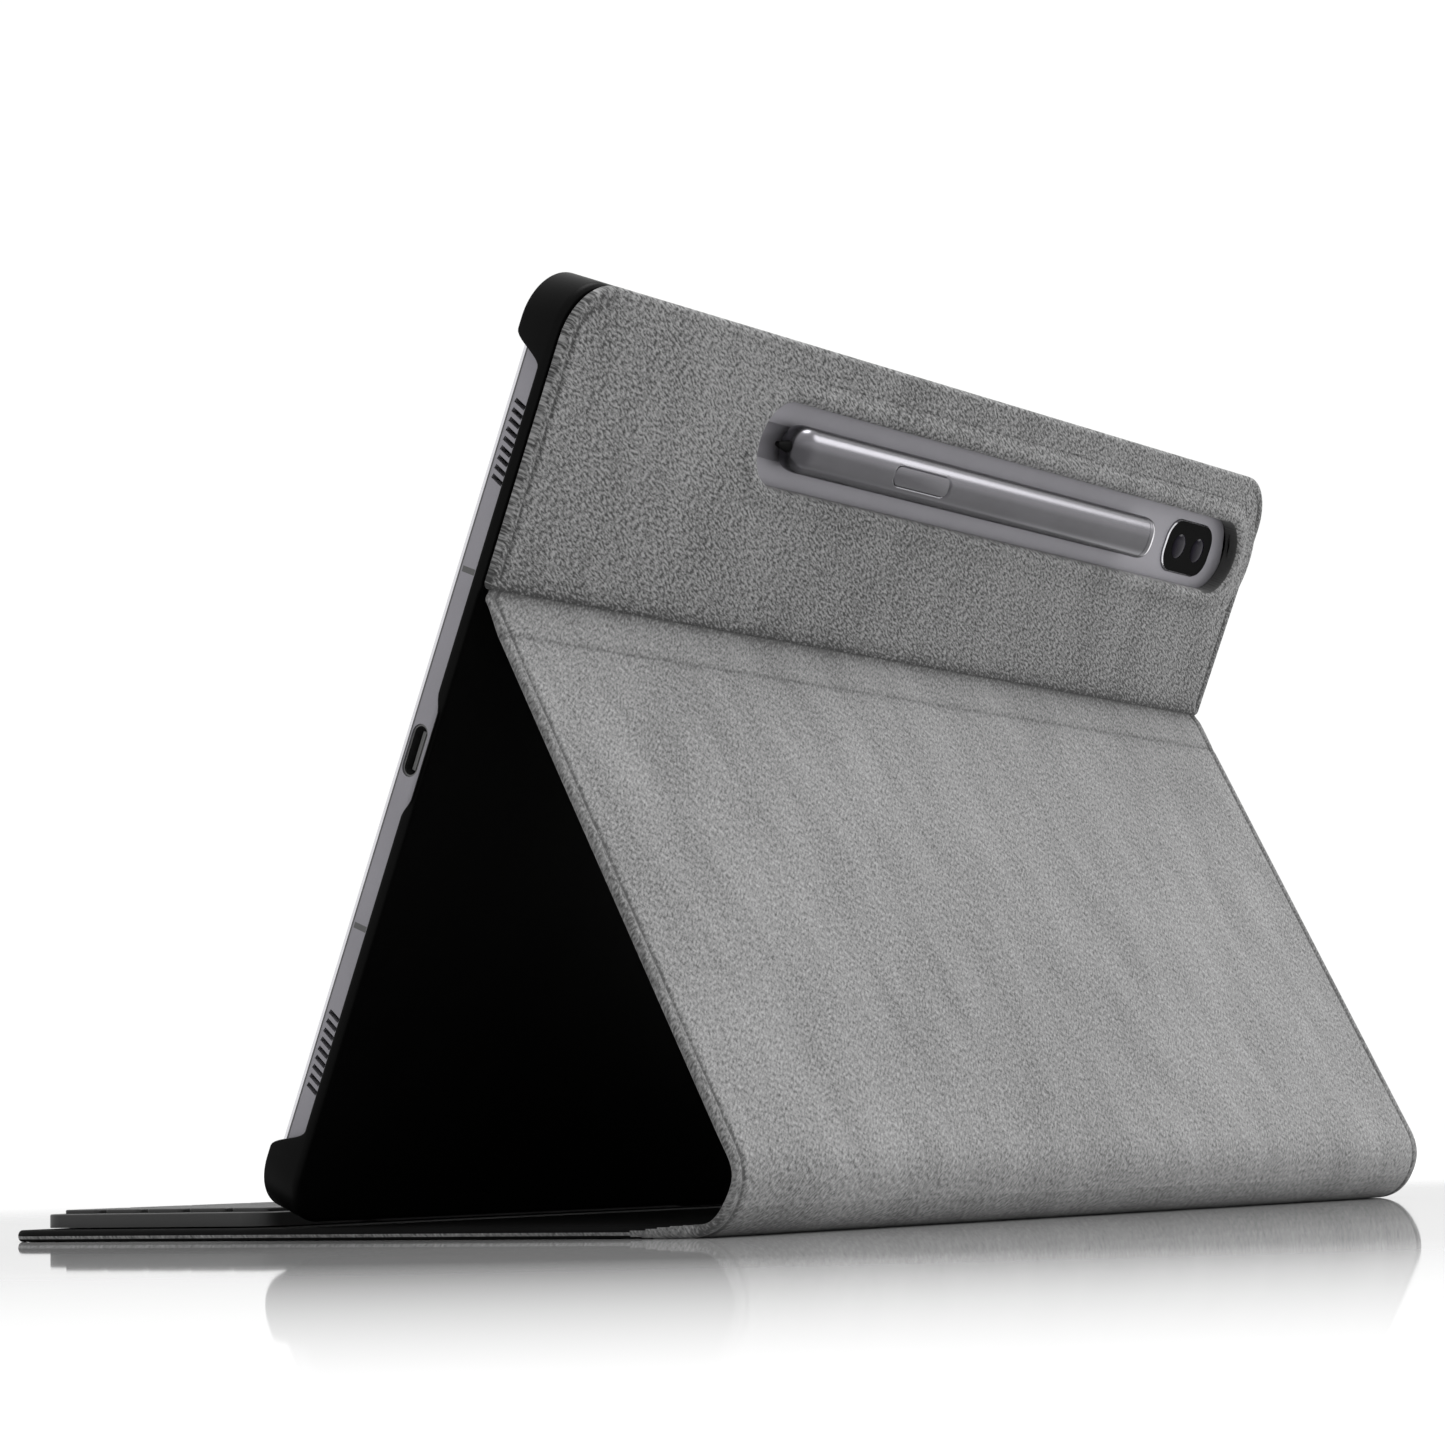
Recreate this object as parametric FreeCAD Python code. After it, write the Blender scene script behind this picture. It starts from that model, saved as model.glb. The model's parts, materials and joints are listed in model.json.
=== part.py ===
"""Folio keyboard case for a ten and a half inch tablet, standing open on a table.

Frame: +Z up, +Y to the rear, +X towards the side with the charging port. The origin is on the
table, at the centre of the case's footprint. All lengths are in millimetres.

The case is a chain of flat panels with one outer skin: front cover, spine, flap and upper panel.
The upper panel is glued to the hard back shell, which grips the tablet by its corners.
"""
import FreeCAD, Part
import math
import os

# ---------------------------------------------------------------- driving dimensions
# Tablet
TABLET_LENGTH = 244.5
TABLET_HEIGHT = 159.5
TABLET_THICKNESS = 5.7
TABLET_CORNER = 7.2
GLASS_THICKNESS = 0.55

# Stand
LEAN = math.radians(23.0)      # the screen leans back this far from upright
FOOT_Y = -11.5                 # the shell's foot, ahead of the footprint's centre
FOOT_Z = 1.75                  # height of the shell frame's origin above the table
CREASE_HEIGHT = 110.0          # from the shell's foot up to the fold, along the shell
SPINE_FOOT = (83.5, 0.25)      # lower spine hinge: behind the foot, above the table
SPINE_TOP = (89.3, 10.5)       # upper spine hinge
COVER_LENGTH = 150.0           # front cover, from the lower spine hinge to its front edge

# Soft panels
CASE_WIDTH = 250.0
FLAP_WIDTH = 248.0
PANEL_WIDTH = 246.6
SKIN = 0.5                     # outer suede skin
HALF_SKIN = SKIN / 2
CREASE_RADIUS = 0.25           # the folded skin at each hinge line
CREASE_GAP = 0.55              # from a hinge line to the panel edges beside it
COVER_BOARD = 1.1
COVER_LINING = 0.4
COVER_TOP = SKIN + COVER_BOARD + COVER_LINING
FLAP_BOARD = 0.7
FLAP_LINING = 0.25
FOLD_BAND = 8.0                # bendable band under the fold, without a board
SPINE_BULGE = 1.2
PANEL_BOARD = 1.0
PANEL_GLUE = 0.3
EDGE_INSET = 0.8               # boards stop this far inside the skin's edge

# Hard shell
SHELL_WALL = 1.45
SHELL_BACK = 1.2
SHELL_FLOOR = SKIN + PANEL_BOARD + PANEL_GLUE
TABLET_FIT = 0.3               # clearance between tablet and shell on each side
BACK_FIT = 0.05                # clearance behind the tablet
SHELL_CORNER = 9.0
RIM_COVERS = 0.45              # the low rim covers this much of the tablet's side
NOTCH_DEPTH = 1.0              # of the notches in the rim at the charging port and the contacts
GRIP_SHORT = 13.5              # grip length along a short side
GRIP_LONG = 17.0               # grip length along a long side
LIP = 1.35
LIP_THICKNESS = 0.75
LIP_GAP = 0.2

# Pen window
WINDOW_LEFT = 63.5
WINDOW_RIGHT = -116.5
WINDOW_MIDDLE = 145.0
WINDOW_RADIUS = 7.9
WELT_WIDTH = 2.0
WELT_HEIGHT = 0.6
PEN_LEFT = 55.0
PEN_RIGHT = -75.3
PEN_WIDTH = 8.6
PEN_DEPTH = 6.4
PEN_GROOVE = 0.45
CAMERA_X = -100.2
CAMERA_LENGTH = 19.6
CAMERA_WIDTH = 11.4
CAMERA_CORNER = 4.6
LENS_OFFSET = 4.1              # of each lens from the camera plate's middle
LENS_RADIUS = 2.6

# Power and volume keys in the tablet's upper edge: place along X, length
POWER_KEY = (-99.0, 10.0)
VOLUME_KEY = (-76.0, 22.0)
EDGE_KEY_ROOM = 0.3            # clearance round them, and room for their travel

# Keyboard
KEY_UNIT = 16.0
KEY_UNITS = 14.5
ROW_PITCH = 9.9
KEY_GAP = 1.4
KEY_CLEARANCE = 0.35
KEY_PROUD = 0.7
KEYBOARD_DEPTH = 53.0
KEYBOARD_WIDTH = 238.0
KEYBOARD_FRONT_MARGIN = 3.0    # from the cover's front edge
KEYBOARD_CORNER = 5.0
FEET = 0.25
CASE_FLOOR = 0.4
CIRCUIT = 0.3
DECK = 0.6
KEY_WELL = 0.75                # free height under the deck, more than the keys travel

# ---------------------------------------------------------------- values worked out from them
SHELL_LENGTH = TABLET_LENGTH + 2 * (TABLET_FIT + SHELL_WALL)
SHELL_HEIGHT = TABLET_HEIGHT + 2 * (TABLET_FIT + SHELL_WALL)
TABLET_BACK = SHELL_FLOOR + SHELL_BACK + BACK_FIT
TABLET_FRONT = TABLET_BACK + TABLET_THICKNESS
TABLET_MIDDLE = (TABLET_BACK + TABLET_FRONT) / 2
TABLET_SIDE = TABLET_LENGTH / 2
TABLET_LOW = TABLET_FIT + SHELL_WALL
TABLET_HIGH = TABLET_LOW + TABLET_HEIGHT
SHELL_CENTRE = SHELL_HEIGHT / 2
RIM_TOP = TABLET_BACK + RIM_COVERS
NOTCH_FLOOR = RIM_TOP - NOTCH_DEPTH
SHELL_TOP = TABLET_FRONT + LIP_GAP + LIP_THICKNESS
COVER_REAR = FOOT_Y + SPINE_FOOT[0]
COVER_FRONT = COVER_REAR - COVER_LENGTH
SPINE_WIDTH = math.hypot(SPINE_TOP[0] - SPINE_FOOT[0], SPINE_TOP[1] - SPINE_FOOT[1])
FOLD_Y = FOOT_Y + CREASE_HEIGHT * math.sin(LEAN) - HALF_SKIN * math.cos(LEAN)
FOLD_Z = FOOT_Z + CREASE_HEIGHT * math.cos(LEAN) + HALF_SKIN * math.sin(LEAN)
SPINE_TOP_Y = FOOT_Y + SPINE_TOP[0]
FLAP_LENGTH = math.hypot(FOLD_Y - SPINE_TOP_Y, FOLD_Z - SPINE_TOP[1])
SPINE_ANGLE = math.degrees(math.atan2(SPINE_TOP[1] - SPINE_FOOT[1], SPINE_TOP[0] - SPINE_FOOT[0]))
FLAP_ANGLE = math.degrees(math.atan2(FOLD_Z - SPINE_TOP[1], FOLD_Y - SPINE_TOP_Y))
SHELL_ANGLE = 90 - math.degrees(LEAN)
KEYBOARD_BOTTOM = COVER_TOP + FEET
CASE_INSIDE = KEYBOARD_BOTTOM + CASE_FLOOR
DECK_BOTTOM = CASE_INSIDE + 2 * CIRCUIT + KEY_WELL
DECK_TOP = DECK_BOTTOM + DECK
KEYBOARD_FRONT = COVER_FRONT + KEYBOARD_FRONT_MARGIN
KEYBOARD_REAR = KEYBOARD_FRONT + KEYBOARD_DEPTH
FIRST_ROW_FRONT = KEYBOARD_FRONT + (KEYBOARD_DEPTH - 5 * ROW_PITCH) / 2


def tilted_frame(y, z, angle):
    """A panel's frame: local Y runs up the panel, local Z points to its inner side."""
    return FreeCAD.Placement(FreeCAD.Vector(0, y, z), FreeCAD.Rotation(FreeCAD.Vector(1, 0, 0), angle))


TABLE_FRAME = FreeCAD.Placement()
SPINE_FRAME = tilted_frame(COVER_REAR, SPINE_FOOT[1], SPINE_ANGLE)
FLAP_FRAME = tilted_frame(SPINE_TOP_Y, SPINE_TOP[1], FLAP_ANGLE)
SHELL_FRAME = tilted_frame(FOOT_Y, FOOT_Z, SHELL_ANGLE)


def save(node, solids, frame=TABLE_FRAME):
    """Write one sub-part, moved from its panel's frame to the case's frame."""
    shape = solids if isinstance(solids, Part.Shape) else Part.makeCompound(solids)
    placed = shape.copy()
    placed.Placement = frame.multiply(placed.Placement)
    placed.exportStep("parts/" + node + ".step")


def box(x0, x1, y0, y1, z0, z1):
    return Part.makeBox(x1 - x0, y1 - y0, z1 - z0, FreeCAD.Vector(x0, y0, z0))


def is_upright(edge):
    first, last = edge.Vertexes[0].Point, edge.Vertexes[-1].Point
    return abs(first.x - last.x) < 1e-6 and abs(first.y - last.y) < 1e-6


def plate(x0, x1, y0, y1, z0, z1, radius):
    """A flat plate with four round corners."""
    blank = box(x0, x1, y0, y1, z0, z1)
    return blank.makeFillet(radius, [edge for edge in blank.Edges if is_upright(edge)])


def top_rounded_plate(length, y0, y1, z0, z1, radius):
    """A centred flat plate whose two upper corners are round."""
    blank = box(-length / 2, length / 2, y0, y1, z0, z1)
    corners = [edge for edge in blank.Edges if is_upright(edge) and edge.Vertexes[0].Point.y > y1 - 1e-6]
    return blank.makeFillet(radius, corners)


def centred_plate(length, y0, y1, z0, z1, radius):
    return plate(-length / 2, length / 2, y0, y1, z0, z1, radius)


def soften(solid, radius, level):
    """Round every edge that lies at one height."""
    rim = [edge for edge in solid.Edges if all(abs(v.Point.z - level) < 1e-6 for v in edge.Vertexes)]
    return solid.makeFillet(radius, rim)


def stadium(x0, x1, middle, radius, z0, z1):
    """A slot shape along X with round ends."""
    start = Part.makeCylinder(radius, z1 - z0, FreeCAD.Vector(x0 + radius, middle, z0))
    end = Part.makeCylinder(radius, z1 - z0, FreeCAD.Vector(x1 - radius, middle, z0))
    body = box(x0 + radius, x1 - radius, middle - radius, middle + radius, z0, z1)
    return body.fuse(start).fuse(end).removeSplitter()


def disc(x, y, z0, z1, radius):
    return Part.makeCylinder(radius, z1 - z0, FreeCAD.Vector(x, y, z0))


def crease(y):
    """The folded skin on a hinge line, a thin bead along X."""
    return Part.makeCylinder(CREASE_RADIUS, FLAP_WIDTH, FreeCAD.Vector(-FLAP_WIDTH / 2, y, 0),
                             FreeCAD.Vector(1, 0, 0))


def magnets(places, size_x, size_y, z0, z1):
    """Block magnets centred on the given places."""
    return [box(x - size_x / 2, x + size_x / 2, y - size_y / 2, y + size_y / 2, z0, z1)
            for x, y in places]


def pockets(places, size_x, size_y, z0, z1):
    room = 0.1
    return magnets(places, size_x + 2 * room, size_y + 2 * room, z0, z1)


def cut_all(solid, tools):
    return solid.cut(Part.makeCompound(tools)) if tools else solid


# ---------------------------------------------------------------- front cover
def front_cover():
    corner = 7.0
    rear = COVER_REAR - CREASE_GAP
    board_low, board_high = SKIN, SKIN + COVER_BOARD
    closing = [(x, COVER_FRONT + 7.0) for x in (-92.0, -60.0, 60.0, 92.0)]
    foot = [(x, FOOT_Y + 1.5) for x in (-78.0, -26.0, 26.0, 78.0)]
    plate_rows = [(x, KEYBOARD_FRONT + KEYBOARD_DEPTH / 2) for x in (-70.0, 70.0)]
    pocket_low = board_low + 0.2

    skin = centred_plate(CASE_WIDTH, COVER_FRONT, rear, 0, SKIN, corner)
    board = centred_plate(CASE_WIDTH - 2 * EDGE_INSET, COVER_FRONT + EDGE_INSET, rear - EDGE_INSET,
                          board_low, board_high, corner - EDGE_INSET)
    board = cut_all(board, pockets(closing, 18, 6, pocket_low, board_high)
                    + pockets(foot, 30, 5, pocket_low, board_high)
                    + pockets(plate_rows, 60, 26, board_high - 0.4, board_high))
    lining = centred_plate(CASE_WIDTH - 1.0, COVER_FRONT + 0.5, rear - 0.5, board_high, COVER_TOP,
                           corner - 0.5)

    save("cover_outer_skin", skin)
    save("cover_board", board)
    save("cover_lining", lining)
    save("cover_closing_magnets", magnets(closing, 18, 6, pocket_low, board_high))
    save("foot_magnets", magnets(foot, 30, 5, pocket_low, board_high))
    save("keyboard_holding_plates", magnets(plate_rows, 60, 26, board_high - 0.4, board_high))


# ---------------------------------------------------------------- spine
def arc_strip(start, end, outer_sag, inner_sag, low, high):
    """A strip along X whose outer face, and maybe inner face, bows outwards."""
    half = (start + end) / 2
    x = -FLAP_WIDTH / 2
    a = FreeCAD.Vector(x, start, low)
    b = FreeCAD.Vector(x, end, low)
    c = FreeCAD.Vector(x, end, high)
    d = FreeCAD.Vector(x, start, high)
    outer = Part.Arc(a, FreeCAD.Vector(x, half, low - outer_sag), b).toShape()
    if inner_sag:
        inner = Part.Arc(c, FreeCAD.Vector(x, half, high - inner_sag), d).toShape()
    else:
        inner = Part.makeLine(c, d)
    outline = Part.Wire([outer, Part.makeLine(b, c), inner, Part.makeLine(d, a)])
    return Part.Face(outline).extrude(FreeCAD.Vector(FLAP_WIDTH, 0, 0))


def spine():
    end = SPINE_WIDTH - CREASE_GAP
    stiffener_start = CREASE_GAP + 0.5
    stiffener_end = SPINE_WIDTH - stiffener_start
    skin = arc_strip(CREASE_GAP, end, SPINE_BULGE, SPINE_BULGE, -HALF_SKIN, HALF_SKIN)
    stiffener = arc_strip(stiffener_start, stiffener_end, SPINE_BULGE * 0.7, 0, HALF_SKIN + 0.05, 1.0)
    lining = box(-FLAP_WIDTH / 2, FLAP_WIDTH / 2, stiffener_start, stiffener_end, 1.0, 1.25)
    save("spine_outer_skin", skin, SPINE_FRAME)
    save("spine_stiffener", stiffener, SPINE_FRAME)
    save("spine_lining", lining, SPINE_FRAME)
    save("spine_lower_crease", crease(0), SPINE_FRAME)
    save("spine_upper_crease", crease(SPINE_WIDTH), SPINE_FRAME)


# ---------------------------------------------------------------- flap
def flap():
    bottom = CREASE_GAP
    top = FLAP_LENGTH - CREASE_GAP
    board_top = FLAP_LENGTH - FOLD_BAND
    board_low, board_high = HALF_SKIN, HALF_SKIN + FLAP_BOARD
    holders = [(x, 14.0) for x in (-80.0, 0.0, 80.0)]
    skin = centred_plate(FLAP_WIDTH, bottom, top, -HALF_SKIN, HALF_SKIN, 0.8)
    board = centred_plate(FLAP_WIDTH - 2 * EDGE_INSET, bottom + 1.0, board_top, board_low, board_high, 2.0)
    board = cut_all(board, pockets(holders, 24, 8, board_low + 0.15, board_high))
    lining = centred_plate(FLAP_WIDTH - 1.0, bottom + 0.5, board_top, board_high,
                           board_high + FLAP_LINING, 2.0)
    cloth = centred_plate(FLAP_WIDTH - 1.0, board_top + 0.3, top - 0.5, HALF_SKIN, HALF_SKIN + 0.25, 1.0)
    save("flap_outer_skin", skin, FLAP_FRAME)
    save("flap_board", board, FLAP_FRAME)
    save("flap_lining", lining, FLAP_FRAME)
    save("fold_band_cloth", cloth, FLAP_FRAME)
    save("flap_magnets", magnets(holders, 24, 8, board_low + 0.15, board_high), FLAP_FRAME)
    save("fold_crease", crease(FLAP_LENGTH), FLAP_FRAME)


# ---------------------------------------------------------------- upper panel, on the shell
def window(grow, z0, z1):
    """The pen window's shape, grown outwards on every side."""
    return stadium(WINDOW_RIGHT - grow, WINDOW_LEFT + grow, WINDOW_MIDDLE, WINDOW_RADIUS + grow, z0, z1)


def upper_panel():
    top = SHELL_HEIGHT - 0.8
    corner = 9.0
    board_start = CREASE_HEIGHT + CREASE_GAP + 0.8
    skin = top_rounded_plate(PANEL_WIDTH, CREASE_HEIGHT + CREASE_GAP, top, 0, SKIN, corner)
    board = top_rounded_plate(PANEL_WIDTH - 2 * EDGE_INSET, board_start, top - EDGE_INSET, SKIN,
                              SKIN + PANEL_BOARD, corner - EDGE_INSET)
    glue = top_rounded_plate(PANEL_WIDTH - 4.0, board_start + 1.0, top - 2.0, SKIN + PANEL_BOARD,
                             SHELL_FLOOR, corner - 2.0)
    welt = window(0.4 + WELT_WIDTH, -WELT_HEIGHT, 0).cut(window(0.4, -1, 1))
    save("upper_panel_skin", skin.cut(window(0.4, -1, 5)), SHELL_FRAME)
    save("upper_panel_board", board.cut(window(0.8, -1, 5)), SHELL_FRAME)
    save("upper_panel_adhesive", glue.cut(window(1.5, -1, 5)), SHELL_FRAME)
    save("window_welt", soften(welt, 0.4, -WELT_HEIGHT), SHELL_FRAME)


# ---------------------------------------------------------------- hard back shell
def port_notch(width):
    """A trapezoid notch in the rim beside the charging port, wider at its mouth."""
    slope = 3.0
    middle = SHELL_CENTRE
    mouth = RIM_TOP + 0.1
    low = [(middle - width / 2, NOTCH_FLOOR), (middle + width / 2, NOTCH_FLOOR)]
    high = [(middle + width / 2 + slope, mouth), (middle - width / 2 - slope, mouth)]
    points = [FreeCAD.Vector(TABLET_SIDE + TABLET_FIT, y, z) for y, z in low + high + low[:1]]
    return Part.Face(Part.makePolygon(points)).extrude(FreeCAD.Vector(8.0, 0, 0))


def back_shell():
    half_x = SHELL_LENGTH / 2
    tray = centred_plate(SHELL_LENGTH, 0, SHELL_HEIGHT, SHELL_FLOOR, SHELL_TOP, SHELL_CORNER)
    tray = soften(tray, 1.1, SHELL_FLOOR)
    tray = soften(tray, 0.5, SHELL_TOP)
    pocket = centred_plate(SHELL_LENGTH - 2 * SHELL_WALL, SHELL_WALL, SHELL_HEIGHT - SHELL_WALL,
                           SHELL_FLOOR + SHELL_BACK, TABLET_FRONT + LIP_GAP, SHELL_CORNER - SHELL_WALL)
    opening = centred_plate(SHELL_LENGTH - 2 * (SHELL_WALL + LIP), SHELL_WALL + LIP,
                            SHELL_HEIGHT - SHELL_WALL - LIP, SHELL_FLOOR + SHELL_BACK, SHELL_TOP + 1,
                            SHELL_CORNER - SHELL_WALL - LIP)
    short_gap = box(-half_x - 1, half_x + 1, GRIP_SHORT, SHELL_HEIGHT - GRIP_SHORT, RIM_TOP, SHELL_TOP + 1)
    long_gap = box(-half_x + GRIP_LONG, half_x - GRIP_LONG, -1, SHELL_HEIGHT + 1, RIM_TOP, SHELL_TOP + 1)
    usb = port_notch(15.0)
    dock = box(-11, 11, -1, SHELL_WALL, NOTCH_FLOOR, RIM_TOP + 1)
    tools = [pocket, opening, short_gap, long_gap, usb, dock, window(0, 0, SHELL_FLOOR + SHELL_BACK + 1)]
    shell = cut_all(tray, tools)
    lip_zone = box(-half_x - 1, half_x + 1, -1, SHELL_HEIGHT + 1, TABLET_FRONT + LIP_GAP, SHELL_TOP + 1)
    save("back_shell", shell.cut(lip_zone), SHELL_FRAME)
    save("corner_lips", shell.common(lip_zone), SHELL_FRAME)


# ---------------------------------------------------------------- tablet
def speaker_slots(side, depth):
    """Two groups of nine leaning slots on a short side."""
    slots = []
    inner = side * (TABLET_SIDE - depth)
    outer = side * (TABLET_SIDE + 1)
    for group in (-52.6, 52.6):
        for number in range(9):
            y = SHELL_CENTRE + group + (number - 4) * 1.6
            slot = box(min(inner, outer), max(inner, outer), y - 0.4, y + 0.4,
                       TABLET_MIDDLE - 1.3, TABLET_MIDDLE + 1.3)
            slot.rotate(FreeCAD.Vector(0, y, TABLET_MIDDLE), FreeCAD.Vector(1, 0, 0), -20)
            slots.append(slot)
    return slots


def side_stadium(side, middle, half_length, radius, depth, out):
    """A round-ended opening in a short side, along the side."""
    tool = stadium(-half_length, half_length, 0, radius, -depth, out)
    tool.rotate(FreeCAD.Vector(0, 0, 0), FreeCAD.Vector(0, 0, 1), 90)
    tool.rotate(FreeCAD.Vector(0, 0, 0), FreeCAD.Vector(0, 1, 0), 90 * side)
    tool.translate(FreeCAD.Vector(side * TABLET_SIDE, middle, TABLET_MIDDLE))
    return tool


def antenna_bands(out=0.0):
    """Two bands flush with each short side, or the slots for them, which run out past it."""
    bands = []
    for side in (-1, 1):
        inner = side * (TABLET_SIDE - 0.4)
        outer = side * (TABLET_SIDE + out)
        for offset in (-30.75, 30.75):
            y = SHELL_CENTRE + offset
            bands.append(box(min(inner, outer), max(inner, outer), y - 0.5, y + 0.5,
                             TABLET_BACK + 1.7, TABLET_FRONT - 1.3))
    return bands


def edge_key(x, length, room):
    """A key that stands a little out of the tablet's upper edge, or its pocket with some room."""
    reach = length / 2 + room
    low = TABLET_HIGH - 1.1 - room
    return plate(x - reach, x + reach, low, TABLET_HIGH + 0.55, TABLET_MIDDLE - 0.9 - room,
                 TABLET_MIDDLE + 0.9 + room, 0.4)


def tablet_housing():
    wall = 1.65
    front = TABLET_FRONT - 0.1
    housing = centred_plate(TABLET_LENGTH, TABLET_LOW, TABLET_HIGH, TABLET_BACK, front, TABLET_CORNER)
    housing = soften(housing, 1.5, TABLET_BACK)
    housing = soften(housing, 0.6, front)
    inside = centred_plate(TABLET_LENGTH - 2 * wall, TABLET_LOW + wall, TABLET_HIGH - wall,
                           TABLET_BACK + 0.85, front + 1, TABLET_CORNER - wall)
    seat = centred_plate(TABLET_LENGTH - 1.6, TABLET_LOW + 0.8, TABLET_HIGH - 0.8,
                         TABLET_FRONT - GLASS_THICKNESS - 0.1, front + 1, TABLET_CORNER - 0.8)
    groove = pen_body(PEN_LEFT + 5.0, PEN_RIGHT - 0.6, 0.3, TABLET_BACK + PEN_GROOVE)
    camera_hole = camera_plate(0.0, TABLET_BACK - 1, TABLET_BACK + 2)
    keys = [edge_key(x, length, EDGE_KEY_ROOM) for x, length in (POWER_KEY, VOLUME_KEY)]
    contacts = [disc_on_bottom_edge(x, 0.8, 1.0) for x in (-4.5, -1.5, 1.5, 4.5)]
    tools = [inside, seat, groove, camera_hole, side_stadium(1, SHELL_CENTRE, 4.5, 1.65, wall + 1, 1)]
    tools += speaker_slots(-1, wall + 0.5) + speaker_slots(1, wall + 0.5)
    tools += antenna_bands(0.5) + keys + contacts
    return cut_all(housing, tools)


def disc_on_bottom_edge(x, radius, depth):
    """A round contact in the tablet's lower long edge."""
    return Part.makeCylinder(radius, depth, FreeCAD.Vector(x, TABLET_LOW, TABLET_MIDDLE - 0.8),
                             FreeCAD.Vector(0, 1, 0))


def camera_plate(inset, z0, z1):
    along = CAMERA_LENGTH / 2 - inset
    across = CAMERA_WIDTH / 2 - inset
    return plate(CAMERA_X - along, CAMERA_X + along, WINDOW_MIDDLE - across, WINDOW_MIDDLE + across,
                 z0, z1, CAMERA_CORNER - inset)


def tablet():
    inner_floor = TABLET_BACK + 0.9
    glass_low = TABLET_FRONT - GLASS_THICKNESS - 0.1
    glass = centred_plate(TABLET_LENGTH - 1.8, TABLET_LOW + 0.9, TABLET_HIGH - 0.9, glass_low,
                          TABLET_FRONT, TABLET_CORNER - 0.9)
    display = centred_plate(234.0, TABLET_LOW + 6.0, TABLET_HIGH - 6.0, glass_low - 0.8, glass_low, 3.0)
    batteries = [plate(x, x + 78.0, TABLET_LOW + 14, TABLET_LOW + 112, inner_floor, inner_floor + 2.9, 2.0)
                 for x in (-84.0, 4.0)]
    board = plate(-112, 60, TABLET_LOW + 118, TABLET_LOW + 132, inner_floor, inner_floor + 0.8, 1.0)
    lens_places = [(CAMERA_X - LENS_OFFSET, WINDOW_MIDDLE), (CAMERA_X + LENS_OFFSET, WINDOW_MIDDLE)]
    lens_seats = [disc(x, y, TABLET_BACK - 1, TABLET_BACK + 0.3, LENS_RADIUS + 0.1) for x, y in lens_places]
    camera = camera_plate(0.1, TABLET_BACK - 0.45, TABLET_BACK + 1.8)
    camera = cut_all(camera, lens_seats)
    lenses = [disc(x, y, TABLET_BACK - 0.35, TABLET_BACK + 0.3, LENS_RADIUS) for x, y in lens_places]
    grilles = []
    for side in (-1, 1):
        inner, outer = sorted((side * (TABLET_SIDE - 2.0), side * (TABLET_SIDE - 1.7)))
        for group in (-52.6, 52.6):
            y = SHELL_CENTRE + group
            grilles.append(box(inner, outer, y - 7.6, y + 7.6, TABLET_MIDDLE - 1.7, TABLET_MIDDLE + 1.6))
    shell = side_stadium(1, SHELL_CENTRE, 4.45, 1.6, 4.7, -0.25)
    shell = shell.cut(side_stadium(1, SHELL_CENTRE, 4.15, 1.3, 4.2, 1))
    tongue = box(TABLET_SIDE - 4.5, TABLET_SIDE - 1.2, SHELL_CENTRE - 3.3, SHELL_CENTRE + 3.3,
                 TABLET_MIDDLE - 0.35, TABLET_MIDDLE + 0.35)
    save("tablet_housing", tablet_housing(), SHELL_FRAME)
    save("tablet_glass", glass, SHELL_FRAME)
    save("tablet_display", display, SHELL_FRAME)
    save("tablet_batteries", batteries, SHELL_FRAME)
    save("tablet_mainboard", board, SHELL_FRAME)
    save("camera_plate", camera, SHELL_FRAME)
    save("camera_lenses", lenses, SHELL_FRAME)
    save("speaker_meshes", grilles, SHELL_FRAME)
    save("antenna_bands", antenna_bands(), SHELL_FRAME)
    save("charging_port", shell.fuse(tongue), SHELL_FRAME)
    save("dock_contacts", [disc_on_bottom_edge(x, 0.75, 0.9) for x in (-4.5, -1.5, 1.5, 4.5)], SHELL_FRAME)
    save("power_key", edge_key(*POWER_KEY, 0.0), SHELL_FRAME)
    save("volume_key", edge_key(*VOLUME_KEY, 0.0), SHELL_FRAME)


# ---------------------------------------------------------------- pen
def pen_body(x_left, x_right, grow, deepest):
    """The pen's flattened barrel along X, its inner side reaching the given depth."""
    half = PEN_WIDTH / 2 + grow
    outer = deepest - PEN_DEPTH - 2 * grow
    blank = box(x_right, x_left, WINDOW_MIDDLE - half, WINDOW_MIDDLE + half, outer, deepest)
    long_edges = [edge for edge in blank.Edges
                  if abs(edge.Vertexes[0].Point.x - edge.Vertexes[-1].Point.x) > 1]
    return blank.makeFillet(2.9, long_edges)


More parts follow.
